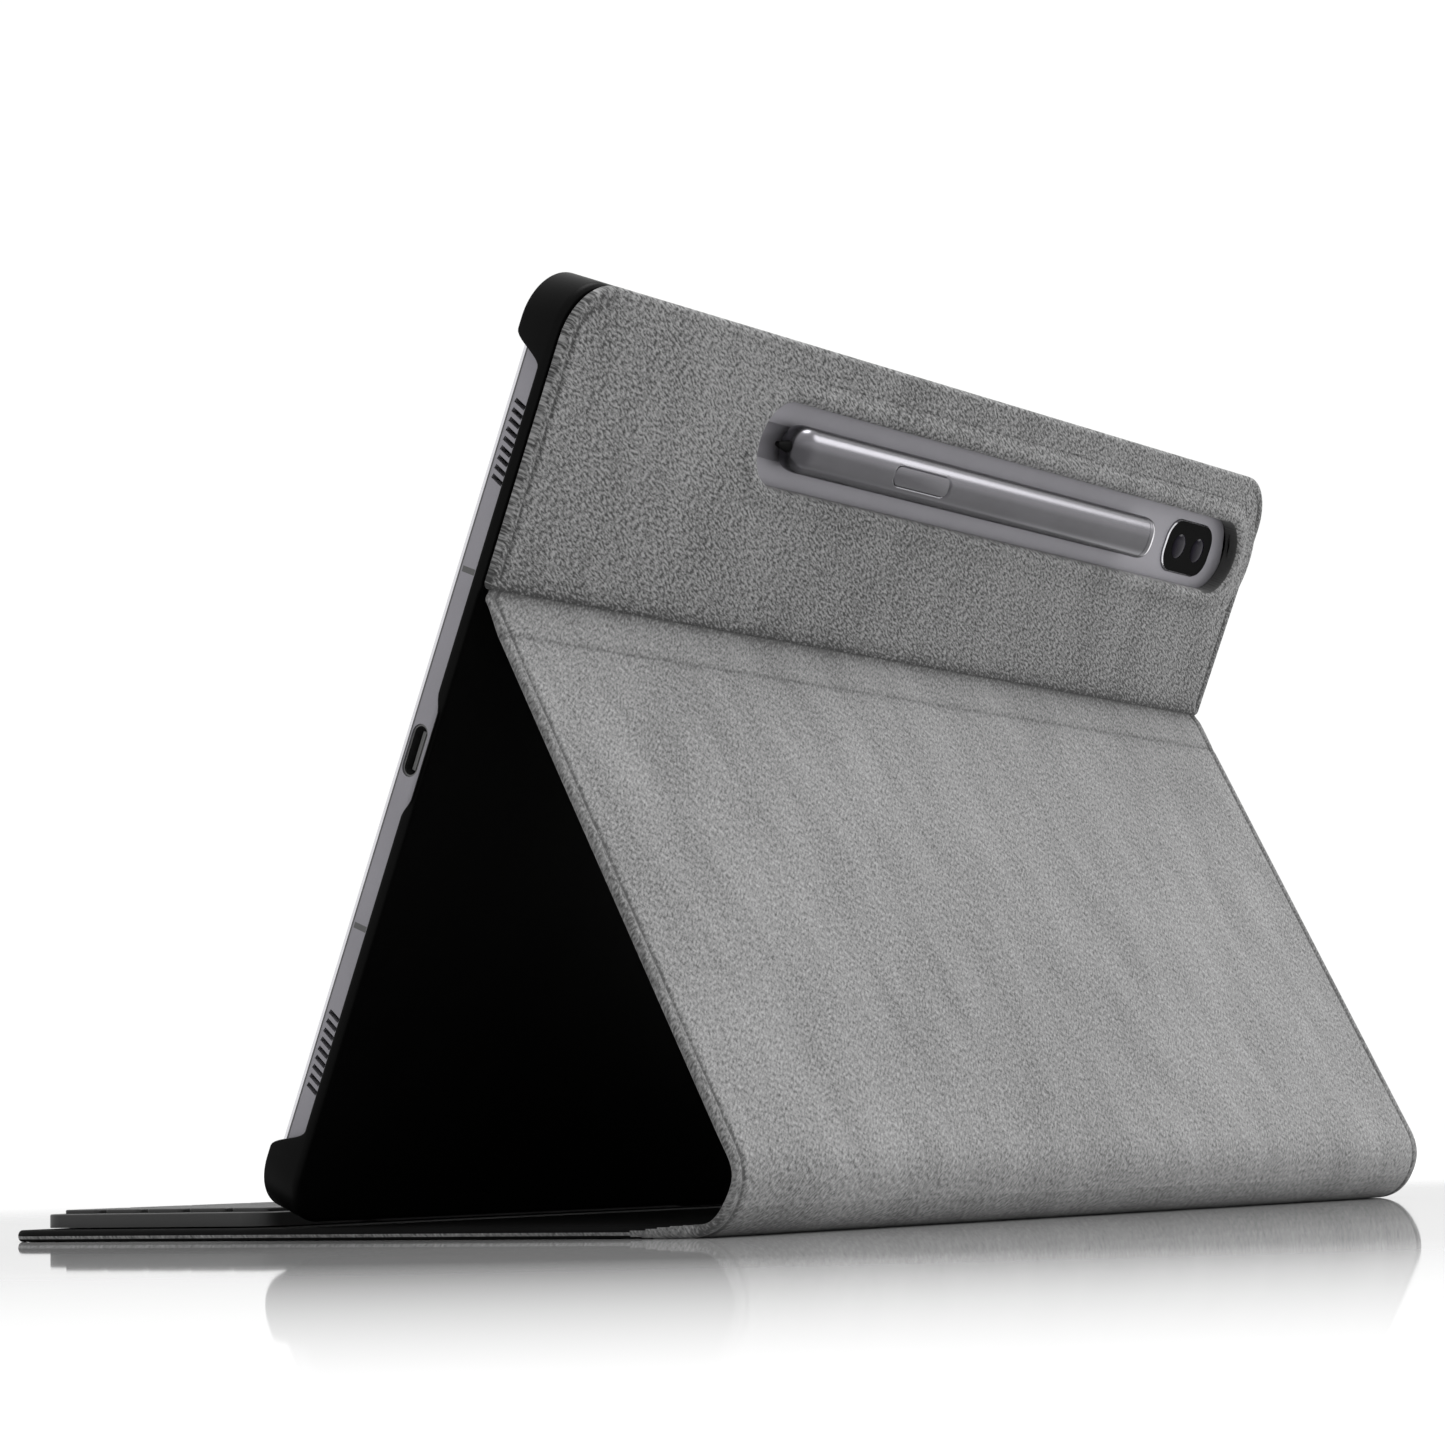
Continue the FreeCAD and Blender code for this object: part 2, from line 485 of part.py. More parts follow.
def pen():
    deepest = TABLET_BACK + PEN_GROOVE - 0.1
    middle_depth = deepest - PEN_DEPTH / 2
    outer = deepest - PEN_DEPTH
    cap_length = 2.6
    barrel = pen_body(PEN_LEFT, PEN_RIGHT + cap_length, 0, deepest)
    nose = [edge for edge in barrel.Edges if all(abs(v.Point.x - PEN_LEFT) < 1e-6 for v in edge.Vertexes)]
    barrel = barrel.makeFillet(1.6, nose)
    button_seat = stadium(4.85, 24.15, WINDOW_MIDDLE, 1.95, outer - 1, outer + 0.8)
    nib_hole = Part.makeCylinder(1.2, 6, FreeCAD.Vector(PEN_LEFT - 5, WINDOW_MIDDLE, middle_depth),
                                 FreeCAD.Vector(1, 0, 0))
    cap = pen_body(PEN_RIGHT + cap_length, PEN_RIGHT, 0, deepest)
    tail = [edge for edge in cap.Edges if all(abs(v.Point.x - PEN_RIGHT) < 1e-6 for v in edge.Vertexes)]
    cap = cap.makeFillet(1.2, tail)
    shank = Part.makeCylinder(1.1, 4.5, FreeCAD.Vector(PEN_LEFT - 4.5, WINDOW_MIDDLE, middle_depth),
                              FreeCAD.Vector(1, 0, 0))
    point = Part.makeCone(1.1, 0.45, 3.2, FreeCAD.Vector(PEN_LEFT, WINDOW_MIDDLE, middle_depth),
                          FreeCAD.Vector(1, 0, 0))
    button = stadium(5.0, 24.0, WINDOW_MIDDLE, 1.8, outer + 0.15, outer + 0.5)
    save("pen_barrel", cut_all(barrel, [button_seat, nib_hole]), SHELL_FRAME)
    save("pen_end_cap", cap, SHELL_FRAME)
    save("pen_nib", shank.fuse(point), SHELL_FRAME)
    save("pen_button", button, SHELL_FRAME)


# ---------------------------------------------------------------- keyboard
# Key widths in units, from left to right as typed, nearest row first. None marks the space bar.
KEY_ROWS = {
    "modifier_keys": [1.25, 1.25, 1.25, 1.25, None, 1, 1, 1, 1, 1],
    "lower_row_keys": [2.25] + [1] * 10 + [2.25],
    "home_row_keys": [1.75] + [1] * 11 + [1.75],
    "upper_row_keys": [1.5] + [1] * 13,
    "number_row_keys": [1] * 13 + [1.5],
}
SPACE_UNITS = 4.5


def key_places():
    """Yield node, x range and y range of every key's cell."""
    for row, (node, widths) in enumerate(KEY_ROWS.items()):
        x = -KEY_UNITS * KEY_UNIT / 2
        y = FIRST_ROW_FRONT + row * ROW_PITCH
        for width in widths:
            units = SPACE_UNITS if width is None else width
            name = "space_bar" if width is None else node
            yield name, x, x + units * KEY_UNIT, y, y + ROW_PITCH
            x += units * KEY_UNIT


def keycap(x0, x1, y0, y1):
    edge = KEY_GAP / 2
    low = DECK_BOTTOM + 0.2
    cap = plate(x0 + edge, x1 - edge, y0 + edge, y1 - edge, low, DECK_TOP + KEY_PROUD, 1.1)
    return soften(cap, 0.25, DECK_TOP + KEY_PROUD)


def keyboard():
    half = KEYBOARD_WIDTH / 2
    front, rear = KEYBOARD_FRONT, KEYBOARD_REAR
    wall = 0.8
    case = plate(-half, half, front, rear, KEYBOARD_BOTTOM, DECK_BOTTOM, KEYBOARD_CORNER)
    room = plate(-half + wall, half - wall, front + wall, rear - wall, CASE_INSIDE, DECK_BOTTOM + 1,
                 KEYBOARD_CORNER - wall)
    socket_x = 70.0
    socket_mouth = box(socket_x - 4.6, socket_x + 4.6, rear - wall - 0.2, rear + 1,
                       CASE_INSIDE + 0.05, DECK_BOTTOM - 0.05)
    slider_mouth = box(88.0, 100.0, rear - wall - 0.2, rear + 1, CASE_INSIDE + 0.3, DECK_BOTTOM - 0.3)
    case = case.cut(room).cut(socket_mouth).cut(slider_mouth)

    deck = plate(-half, half, front, rear, DECK_BOTTOM, DECK_TOP, KEYBOARD_CORNER)
    deck = soften(deck, 0.25, DECK_TOP)
    holes = []
    caps = {}
    domes = []
    inset = KEY_GAP / 2 - KEY_CLEARANCE
    sheet_top = CASE_INSIDE + 2 * CIRCUIT
    for node, x0, x1, y0, y1 in key_places():
        holes.append(box(x0 + inset, x1 - inset, y0 + inset, y1 - inset, DECK_BOTTOM - 1, DECK_TOP + 1))
        caps.setdefault(node, []).append(keycap(x0, x1, y0, y1))
        domes.append(disc((x0 + x1) / 2, (y0 + y1) / 2, sheet_top, sheet_top + 0.12, 2.4))
    lamp_places = [(100.0, rear - 0.95), (106.0, rear - 0.95)]
    lamp_holes = [disc(x, y, DECK_BOTTOM - 1, DECK_TOP + 1, 0.5) for x, y in lamp_places]

    board = plate(-half + 1.2, half - 1.2, front + 1.2, rear - 2.2, CASE_INSIDE, CASE_INSIDE + CIRCUIT, 3.0)
    battery_room = box(-40, 40, front + 8, front + 34, CASE_INSIDE - 1, CASE_INSIDE + 1)
    switch_sheet = plate(-half + 1.2, half - 1.2, front + 1.2, rear - 2.2, CASE_INSIDE + CIRCUIT,
                         sheet_top, 3.0)
    battery = plate(-39, 39, front + 9, front + 33, CASE_INSIDE, CASE_INSIDE + CIRCUIT - 0.02, 1.0)
    socket = box(socket_x - 4.4, socket_x + 4.4, rear - 2.1, rear - 0.2, CASE_INSIDE + 0.1,
                 DECK_BOTTOM - 0.1)
    socket_hollow = box(socket_x - 4.1, socket_x + 4.1, rear - 1.6, rear + 1, CASE_INSIDE + 0.35,
                        DECK_BOTTOM - 0.35)
    slider = box(89.5, 93.5, rear - wall - 0.1, rear + 0.35, CASE_INSIDE + 0.45, DECK_BOTTOM - 0.45)
    feet = [plate(x - 9, x + 9, y - 2, y + 2, COVER_TOP + 0.02, KEYBOARD_BOTTOM, 1.5)
            for x in (-100.0, 0.0, 100.0) for y in (front + 5.0, rear - 5.0)]
    holders = [(x, (front + rear) / 2) for x in (-70.0, 70.0)]
    holder_top = KEYBOARD_BOTTOM + 0.3
    case = cut_all(case, pockets(holders, 40, 14, KEYBOARD_BOTTOM - 1, holder_top))

    save("keyboard_bottom_case", case)
    save("keyboard_deck", cut_all(deck, holes + lamp_holes))
    save("keyboard_circuit", board.cut(battery_room))
    save("keyboard_switch_sheet", switch_sheet)
    save("keyboard_snap_domes", domes)
    save("keyboard_battery", battery)
    save("keyboard_socket", socket.cut(socket_hollow))
    save("keyboard_power_slider", slider)
    save("keyboard_status_lamps", [disc(x, y, DECK_BOTTOM, DECK_TOP - 0.05, 0.45) for x, y in lamp_places])
    save("keyboard_feet", feet)
    save("keyboard_magnets", magnets(holders, 40, 14, KEYBOARD_BOTTOM, holder_top))
    for node, solids in caps.items():
        save(node, solids)


def main():
    os.makedirs("parts", exist_ok=True)
    front_cover()
    spine()
    flap()
    upper_panel()
    back_shell()
    tablet()
    pen()
    keyboard()


main()
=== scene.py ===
import json
import math

import bpy
from mathutils import Matrix, Vector, noise


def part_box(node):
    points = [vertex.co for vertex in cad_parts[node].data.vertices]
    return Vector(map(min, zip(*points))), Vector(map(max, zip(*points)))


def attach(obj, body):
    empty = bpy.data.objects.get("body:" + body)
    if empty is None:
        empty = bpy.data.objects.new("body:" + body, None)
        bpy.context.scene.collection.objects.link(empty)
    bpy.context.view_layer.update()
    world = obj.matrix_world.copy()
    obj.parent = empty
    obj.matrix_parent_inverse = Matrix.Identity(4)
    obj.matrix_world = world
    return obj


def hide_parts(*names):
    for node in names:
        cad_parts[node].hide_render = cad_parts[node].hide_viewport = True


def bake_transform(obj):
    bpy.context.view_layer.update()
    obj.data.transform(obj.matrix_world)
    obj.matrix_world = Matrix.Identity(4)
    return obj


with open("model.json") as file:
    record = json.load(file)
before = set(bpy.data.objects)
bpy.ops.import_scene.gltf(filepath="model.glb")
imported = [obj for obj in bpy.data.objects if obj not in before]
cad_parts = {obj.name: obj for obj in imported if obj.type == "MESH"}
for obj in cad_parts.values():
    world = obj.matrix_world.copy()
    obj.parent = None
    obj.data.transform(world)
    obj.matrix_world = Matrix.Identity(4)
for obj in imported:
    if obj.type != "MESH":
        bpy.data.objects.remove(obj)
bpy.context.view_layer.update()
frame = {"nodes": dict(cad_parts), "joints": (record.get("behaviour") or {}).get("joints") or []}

# Sizes of the case are in millimetres, in the CAD frame: +Z up, +Y to the rear, +X to the port side.
MM = 0.001
COVER_WIDTH = 250.0
COVER_CORNER = 7.0
FLAP_WIDTH = 248.0
SKIN_OUTER = 0.25              # from the chain's middle skin line to its outer face
COVER_INNER = 1.75             # from that line to the inner face of each part of the chain
SPINE_INNER = 1.25
FLAP_INNER = 1.2
BAND_INNER = 0.5
FOLD_BAND = 8.0                # soft band under the fold
BAND_BEFORE = 1.6              # where the band starts to turn, below the fold
BAND_TUCK = (1.8, 0.75)        # where its turn ends: up the shell, and under the panel
BAND_GLUED = 3.5               # length glued flat under the upper panel
BAND_HIDDEN = 4.5              # length of its upper end that the panel's edge shades
CREASE_STEP = 0.12             # how far the flap's edge is pressed down where the band begins
CREASE_REACH = 1.2
# CREASE_SHADE: painted shade at the flap's upper crease
CREASE_SHADE = 0.45
CREASE_THINNER = 0.55          # how much thinner the chain is at the flap's lower crease
CREASE_SPREAD = 3.0
PANEL_WIDTH = 246.6
PANEL_BOTTOM = 110.55
PANEL_TOP = 163.1
PANEL_CORNER = 10.5
PANEL_INNER = 1.5
CREASE_HEIGHT = 110.0
PRESSED_LINE = 2.2             # from a side edge to the line pressed along it
PRESSED_DEPTH = 0.25
SHELL_LENGTH = 248.0
SHELL_HEIGHT = 163.0
SHELL_CORNER = 9.0
SHELL_OUTSIDE = 1.8
SHELL_INSIDE = 3.0
SHELL_WALL = 1.45
SHELL_ROUND = 1.1              # radius of the shell's outer edge
WALL_ROUND = (0.5, 0.4)        # width and height of the round on top of its wall
RIM_TOP = 3.5
NOTCH_FLOOR = 2.5              # of the notches at the charging port and the contacts
GRIP_TOP = 9.7
GRIP_SHORT = 13.5
GRIP_LONG = 17.0
GRIP_SLOPE = 5.0               # length over which a grip rises out of the low rim
LIP = 1.35
LIP_THICKNESS = 0.75
WINDOW_LEFT = 63.5
WINDOW_RIGHT = -116.5
WINDOW_MIDDLE = 145.0
WINDOW_RADIUS = 7.9
WINDOW_WALL = 2.85             # depth to which cloth and lining cover the window's wall
LINING_OUT = -0.06             # the lining's place, just inside the window's edge
EDGE_STEPS = 12                # points of each board's rounded side edge
TABLET_LENGTH = 244.5
TABLET_LOW = 1.75
TABLET_HIGH = 161.25
TABLET_CORNER = 7.2
GLASS_BACK = 7.75              # depths of the front glass from the shell's outer face
GLASS_FRONT = 8.75
PEN_LEFT = 55.0
PEN_RIGHT = -75.3
PEN_WIDTH = 8.6
PEN_OUTER = -3.0               # depths of the pen's outer and inner side
PEN_INNER = 3.4
PEN_BUTTON_MIDDLE = 14.5
PEN_BUTTON_SEAT = (7.7, 1.95)  # half the straight length, and the radius
PEN_BUTTON_RADIUS = 1.78       # of the button itself, a little less than its seat's
PLATE_X = -100.2               # the tablet's camera plate
PLATE_LENGTH = 19.6
PLATE_WIDTH = 11.4
PLATE_CORNER = 4.6
PLATE_OUTER = 2.6
LENS_OFFSET = 4.1
LENS_RADIUS = 2.6

SUEDE_UV = "cloth"
# Name of the attribute that darkens cloth and pen: pressed lines, and painted shade at creases, edges and
# recesses.
PRESSED_AND_SHADE = "pressed"
# WALL_SHADE: painted shade on the window's far wall
WALL_SHADE = 4.0               # tone of the window's wall at its dark end
NEVER = -1000.0                # a distance along the chain that no station reaches

# The sizes of the scene round the case are in metres. A light has a name, place, diameter and watts.
VIEW_PLACE = (0.5758, 0.3883, 0.0139)
VIEW_ANGLES = (125.54, -6.81, -1.35)     # azimuth, elevation and roll, in degrees
VIEW_SHIFT = (0.043, -0.005)
VIEW_LENS = 90.0
LIGHTS = (("key", (-0.25, 0.5, 1.2), 0.8, 13.5), ("fill", (-0.9, 0.75, 0.45), 0.5, 3.0))
SKY = (1.02, 1.3)              # strength of the surround below and overhead
FLOOR_HALF = 6.0
FLOOR_SHINE = (0.235, 0.50)    # distances from the middle at which the floor's gloss starts and ends
FLOOR_TONE = ((0.3, 0.60), (2.0, 1.0))     # distance and brightness, near and far

# ---------------------------------------------------------------- places read from the frame
JOINTS = {joint["name"]: joint for joint in frame["joints"]}


def hinge(name):
    """A hinge line's place in the case's side view, as (y, z) in millimetres."""
    x, y, z = JOINTS[name]["pos_m"]
    return Vector((y / MM, z / MM))


SPINE_LOW = hinge("spine_turn")
SPINE_HIGH = hinge("flap_turn")
FOLD = hinge("screen_fold")
FLAP_UP = (FOLD - SPINE_HIGH).normalized()
SPINE_UP = (SPINE_HIGH - SPINE_LOW).normalized()
TO_SCREEN = Vector(JOINTS["tablet_lift_out"]["axis"][1:])
SHELL_UP = Vector((TO_SCREEN.y, -TO_SCREEN.x))
SHELL_FOOT = FOLD - CREASE_HEIGHT * SHELL_UP - SKIN_OUTER * TO_SCREEN
COVER_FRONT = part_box("cover_outer_skin")[0].y / MM


def on_shell(x, up, depth):
    """A point of the shell's frame: up from its foot, depth from its outer face to the screen."""
    side = SHELL_FOOT + up * SHELL_UP + depth * TO_SCREEN
    return Vector((x, side.x, side.y)) * MM


# ---------------------------------------------------------------- materials
def new_material(name, colour, roughness, metallic=0.0, specular=0.5):
    """A principled material; returns it with its nodes, links and shader."""
    made = bpy.data.materials.new("finish_" + name)
    made.use_nodes = True
    tree = made.node_tree
    shader = tree.nodes["Principled BSDF"]
    shader.inputs["Base Color"].default_value = (*colour, 1)
    shader.inputs["Roughness"].default_value = roughness
    shader.inputs["Metallic"].default_value = metallic
    shader.inputs["Specular IOR Level"].default_value = specular
    return made, tree, shader


def math_node(tree, operation, first, second, third=None):
    node = tree.nodes.new("ShaderNodeMath")
    node.operation = operation
    for socket, value in zip(node.inputs, (first, second, third)):
        if value is None:
            continue
        if isinstance(value, (int, float)):
            socket.default_value = value
        else:
            tree.links.new(value, socket)
    return node.outputs[0]


def range_node(tree, value, start, end, first, last):
    """A value from first to last, as another one goes from start to end."""
    node = tree.nodes.new("ShaderNodeMapRange")
    for name, number in (("From Min", start), ("From Max", end), ("To Min", first), ("To Max", last)):
        node.inputs[name].default_value = number
    tree.links.new(value, node.inputs["Value"])
    return node


def noise_node(tree, place, size_mm, stretch=(1, 1, 1), turn=0.0, detail=3.0, rough=0.55):
    """Noise whose features are about size_mm across, longer by each stretch factor, turned in its plane."""
    scale = 1 / (size_mm * MM)
    mapping = tree.nodes.new("ShaderNodeMapping")
    mapping.inputs["Scale"].default_value = [scale / s for s in stretch]
    turned = tree.nodes.new("ShaderNodeVectorRotate")
    turned.rotation_type = "Z_AXIS"
    turned.inputs["Angle"].default_value = math.radians(turn)
    tree.links.new(place, turned.inputs["Vector"])
    tree.links.new(turned.outputs["Vector"], mapping.inputs["Vector"])
    texture = tree.nodes.new("ShaderNodeTexNoise")
    texture.inputs["Scale"].default_value = 1.0
    texture.inputs["Detail"].default_value = detail
    texture.inputs["Roughness"].default_value = rough
    tree.links.new(mapping.outputs["Vector"], texture.inputs["Vector"])
    return texture.outputs["Fac"]


def centred(tree, value, weight):
    """A noise value moved to around zero and scaled."""
    return math_node(tree, "MULTIPLY", math_node(tree, "SUBTRACT", value, 0.5), weight)


def add_bump(tree, shader, height, depth_mm, strength=1.0):
    bump = tree.nodes.new("ShaderNodeBump")
    bump.inputs["Strength"].default_value = strength
    bump.inputs["Distance"].default_value = depth_mm * MM
    tree.links.new(height, bump.inputs["Height"])
    tree.links.new(bump.outputs["Normal"], shader.inputs["Normal"])


def colour_between(tree, shader, dark, light, factor):
    mix = tree.nodes.new("ShaderNodeMix")
    mix.data_type = "RGBA"
    mix.inputs["A"].default_value = (*dark, 1)
    mix.inputs["B"].default_value = (*light, 1)
    tree.links.new(factor, mix.inputs["Factor"])
    tree.links.new(mix.outputs["Result"], shader.inputs["Base Color"])


def suede(name, dark, light, lay, contrast):
    """Heathered grey suede cloth: short fibres lying at an angle, soft streaks, darker pressed lines and
    painted shade.
    """
    made, tree, shader = new_material(name, grey(light), 0.92, specular=0.2)
    shader.inputs["Sheen Weight"].default_value = 0.12
    shader.inputs["Sheen Roughness"].default_value = 0.5
    place = tree.nodes.new("ShaderNodeUVMap")
    place.uv_map = SUEDE_UV
    fibres = noise_node(tree, place.outputs[0], 0.40, stretch=(1, 2.7, 1), turn=lay, detail=2.0)
    crossing = noise_node(tree, place.outputs[0], 0.55, stretch=(2.0, 1, 1), turn=lay / 2, detail=2.0)
    clouds = noise_node(tree, place.outputs[0], 11, stretch=(1, 2.6, 1), turn=8, detail=4.0, rough=0.6)
    patches = noise_node(tree, place.outputs[0], 55, stretch=(1, 1.6, 1), turn=-15, detail=2.0)
    pressed = tree.nodes.new("ShaderNodeAttribute")
    pressed.attribute_name = PRESSED_AND_SHADE
    # pressed lines and painted shade, both read from the mesh, darken the cloth in dashes
    dashes = math_node(tree, "MULTIPLY_ADD", crossing, 2.2, -0.5)
    line = math_node(tree, "MULTIPLY", pressed.outputs["Fac"], dashes)
    weave = math_node(tree, "ADD", centred(tree, fibres, contrast), centred(tree, crossing, 1.0))
    tone = math_node(tree, "ADD", centred(tree, clouds, 0.55), centred(tree, patches, 0.35))
    factor = math_node(tree, "ADD", math_node(tree, "ADD", weave, tone), 0.5)
    factor = math_node(tree, "SUBTRACT", factor, line)
    colour_between(tree, shader, grey(dark), grey(light), factor)
    height = math_node(tree, "ADD", fibres, math_node(tree, "MULTIPLY", crossing, 0.5))
    add_bump(tree, shader, height, 0.16, 0.7)
    return made


def object_place(tree):
    return tree.nodes.new("ShaderNodeTexCoord").outputs["Object"]


def grained(name, dark, light, roughness, grain_mm, depth_mm, metallic=0.0, specular=0.5,
            stretch=(1, 1, 1), spread=0.08):
    """Moulded, cast or brushed finish: fine grain in the relief, soft changes in tone and gloss."""
    made, tree, shader = new_material(name, light, roughness, metallic, specular)
    place = object_place(tree)
    grain = noise_node(tree, place, grain_mm, stretch=stretch, detail=2.0)
    clouds = noise_node(tree, place, 14, detail=3.0)
    factor = math_node(tree, "ADD", math_node(tree, "ADD", centred(tree, grain, 0.9),
                                              centred(tree, clouds, 0.9)), 0.5)
    colour_between(tree, shader, dark, light, factor)
    gloss = math_node(tree, "ADD", centred(tree, clouds, spread), roughness)
    tree.links.new(gloss, shader.inputs["Roughness"])
    add_bump(tree, shader, grain, depth_mm)
    return made


def grey(value, tint=0.0):
    """A grey in linear light, a little bluer with tint."""
    return (value, value * (1 - tint * 0.4), value * (1 + tint))


def dull(made, index):
    """Lower refractive index, so that the surface stays black when it is seen at a low angle."""
    made.node_tree.nodes["Principled BSDF"].inputs["IOR"].default_value = index
    return made


def coated(made, weight, roughness):
    shader = made.node_tree.nodes["Principled BSDF"]
    shader.inputs["Coat Weight"].default_value = weight
    shader.inputs["Coat Roughness"].default_value = roughness
    return made


def lamp():
    made = grained("lamp", (0.35, 0.5, 0.3), (0.5, 0.7, 0.45), 0.3, 0.4, 0.01)
    return coated(made, 0.6, 0.1)


def pen_metal():
    """Satin metal, brushed along the pen, with painted shade on its lower side, read from the mesh."""
    made, tree, shader = new_material("pen", grey(0.15, 0.06), 0.26, 0.95)
    place = object_place(tree)
    brushed = noise_node(tree, place, 0.1, stretch=(30, 1, 1), detail=2.0)
    clouds = noise_node(tree, place, 14, detail=3.0)
    shade = tree.nodes.new("ShaderNodeAttribute")
    shade.attribute_name = PRESSED_AND_SHADE
    mottle = math_node(tree, "ADD", centred(tree, brushed, 0.15), centred(tree, clouds, 0.15))
    factor = math_node(tree, "SUBTRACT", math_node(tree, "ADD", mottle, 0.75), shade.outputs["Fac"])
    colour_between(tree, shader, grey(0.045, 0.06), grey(0.20, 0.06), factor)
    add_bump(tree, shader, brushed, 0.002)
    return made


FINISHES = {
    "suede": suede("suede", 0.046, 0.258, lay=-52, contrast=1.9),
    # The panel's copy of the suede: its fibres lie another way, and it is darker than the flap's as painted
    # shade.
    "panel_suede_painted_shade": suede("panel_suede_painted_shade", 0.034, 0.245, lay=66, contrast=3.3),
    "lining": grained("lining", grey(0.0015), grey(0.005), 0.85, 0.3, 0.05, specular=0.06),
    "board": grained("board", grey(0.05), grey(0.09), 0.8, 0.6, 0.04),
    "magnet": grained("magnet", grey(0.35), grey(0.5), 0.35, 0.3, 0.01, metallic=1.0),
    "shell_plastic": dull(grained("shell", grey(0.0012), grey(0.0025), 0.42, 0.16, 0.010, specular=0.3),
                          1.18),
    "adhesive": grained("adhesive", grey(0.4), grey(0.5), 0.5, 1.0, 0.02),
    "tablet_metal": grained("metal", grey(0.19, 0.06), grey(0.25, 0.06), 0.46, 0.12, 0.003,
                            metallic=0.5, specular=0.3),
    "front_glass": coated(grained("glass", grey(0.006), grey(0.008), 0.12, 6, 0.001), 1.0, 0.03),
    "display": grained("display", grey(0.01), grey(0.014), 0.25, 0.4, 0.002),
    "battery": grained("battery", grey(0.06), grey(0.09), 0.45, 0.5, 0.01),
    "circuit": grained("circuit", (0.01, 0.05, 0.03), (0.015, 0.08, 0.045), 0.45, 0.5, 0.01),
    "lens": dull(grained("lens", grey(0.003, 0.8), grey(0.005, 0.8), 0.1, 2, 0.001), 1.15),
    "camera_black": dull(grained("camera", grey(0.002), grey(0.003), 0.25, 1.0, 0.001, specular=0.3), 1.06),
    "mesh": grained("mesh", grey(0.004), grey(0.02), 0.6, 0.25, 0.05, metallic=0.5),
    "antenna": grained("antenna", grey(0.05), grey(0.075), 0.5, 0.2, 0.004),
    "port_metal": grained("port", grey(0.08), grey(0.14), 0.4, 0.2, 0.004, metallic=0.9),
    "contact": grained("contact", (0.5, 0.36, 0.14), (0.7, 0.52, 0.22), 0.3, 0.2, 0.004, metallic=1.0),
    "pen_metal": pen_metal(),
    "polished": grained("polished", grey(0.62, 0.03), grey(0.72, 0.03), 0.16, 0.2, 0.001, metallic=1.0),
    "nib": dull(grained("nib", grey(0.003), grey(0.006), 0.5, 0.2, 0.01, specular=0.3), 1.12),
    "keyboard_case": grained("case", grey(0.010), grey(0.018), 0.5, 0.18, 0.014),
    "keycap": grained("keycap", grey(0.008), grey(0.014), 0.48, 0.12, 0.010),
    "dome": grained("dome", grey(0.4), grey(0.55), 0.3, 0.3, 0.01, metallic=0.9),
    "foot_rubber": grained("rubber", grey(0.012), grey(0.02), 0.8, 0.3, 0.03),
    "lamp": lamp(),
}


def finish_cad_nodes():
    """Every CAD part that stays in view takes the finish of its own slot."""
    for node in frame["nodes"].values():
        for place in node.material_slots:
            place.material = FINISHES[place.material.name.split(".")[0]]


# ---------------------------------------------------------------- mesh building
def eased(value, low, high):
    t = min(1.0, max(0.0, (value - low) / (high - low)))
    return t * t * (3 - 2 * t)


def build(name, points, faces, slots, face_slots, uvs=None, pressed=None, sharp=35):
    """A closed, smooth-shaded mesh object in the CAD frame."""
    mesh = bpy.data.meshes.new(name)
    mesh.from_pydata(points, [], faces)
    for slot in slots:
        mesh.materials.append(FINISHES[slot])
    mesh.polygons.foreach_set("material_index", face_slots)
    if uvs:
        layer = mesh.uv_layers.new(name=SUEDE_UV)
        layer.data.foreach_set("uv", [value for uv in uvs for value in uv])
    # the attribute holds pressed lines and painted shade
    if pressed:
        attribute = mesh.attributes.new(PRESSED_AND_SHADE, "FLOAT", "POINT")
        attribute.data.foreach_set("value", pressed)
    mesh.polygons.foreach_set("use_smooth", [True] * len(faces))
    mesh.set_sharp_from_angle(angle=math.radians(sharp))
    mesh.validate()
    made = bpy.data.objects.new(name, mesh)
    bpy.context.scene.collection.objects.link(made)
    return made


def groove(inset):
    """How deep the pressed line is at a distance from the edge, from 0 to 1."""
    return math.exp(-((inset - PRESSED_LINE) / 0.5) ** 2)


def edge_tone(inset):
    """How much darker the cloth is there: along the pressed line, and a little outside it."""
    return 0.9 * groove(inset) + 0.25 * (1 - eased(inset, 1.2, PRESSED_LINE))


def ripple(x, along):
    """Slight unevenness of cloth glued over a board, in millimetres."""
    return 0.05 * noise.noise(Vector((x / 19, along / 15, 3.0)))


# ---------------------------------------------------------------- the chain of panels
def bend(start, corner, end, steps):
    """Points along a smooth turn from start to end round a corner, without the last."""
    points = []
    for step in range(steps):
        t = step / steps
        points.append((1 - t) ** 2 * start + 2 * t * (1 - t) * corner + t * t * end)
    return points


def straight(start, end, spacing):
    steps = max(1, round((end - start).length / spacing))
    return [start.lerp(end, step / steps) for step in range(steps)]


def walk(points, first_distance):
    """Each point with its outward direction and its distance along the chain."""
    stations = []
    distance = first_distance
    for number, point in enumerate(points):
        before = points[max(number - 1, 0)]
        after = points[min(number + 1, len(points) - 1)]
        along = (after - before).normalized()
        if number:
            distance += (point - before).length
        stations.append((point, Vector((along.y, -along.x)), distance))
    return stations


FLAT_INSETS = (1.3, 1.6, 1.9, 2.2, 2.5, 2.8, 3.2, 3.8, 4.7, 5.8, 7, 9, 12, 16, 21, 27, 34, 42, 51, 60,
               69, 78, 87, 96, 105, 115)
OUTER_FACE, EDGE, INNER_FACE = range(3)
# A black edge is the lining on its inner side and painted shade on its outer side, towards the floor.
LIGHT_BAND = (0.0, 0.45)       # of a black edge's half height, outwards: its one thin light line
BAND_WIDENS = 16.0             # length before the spine over which the whole edge turns light


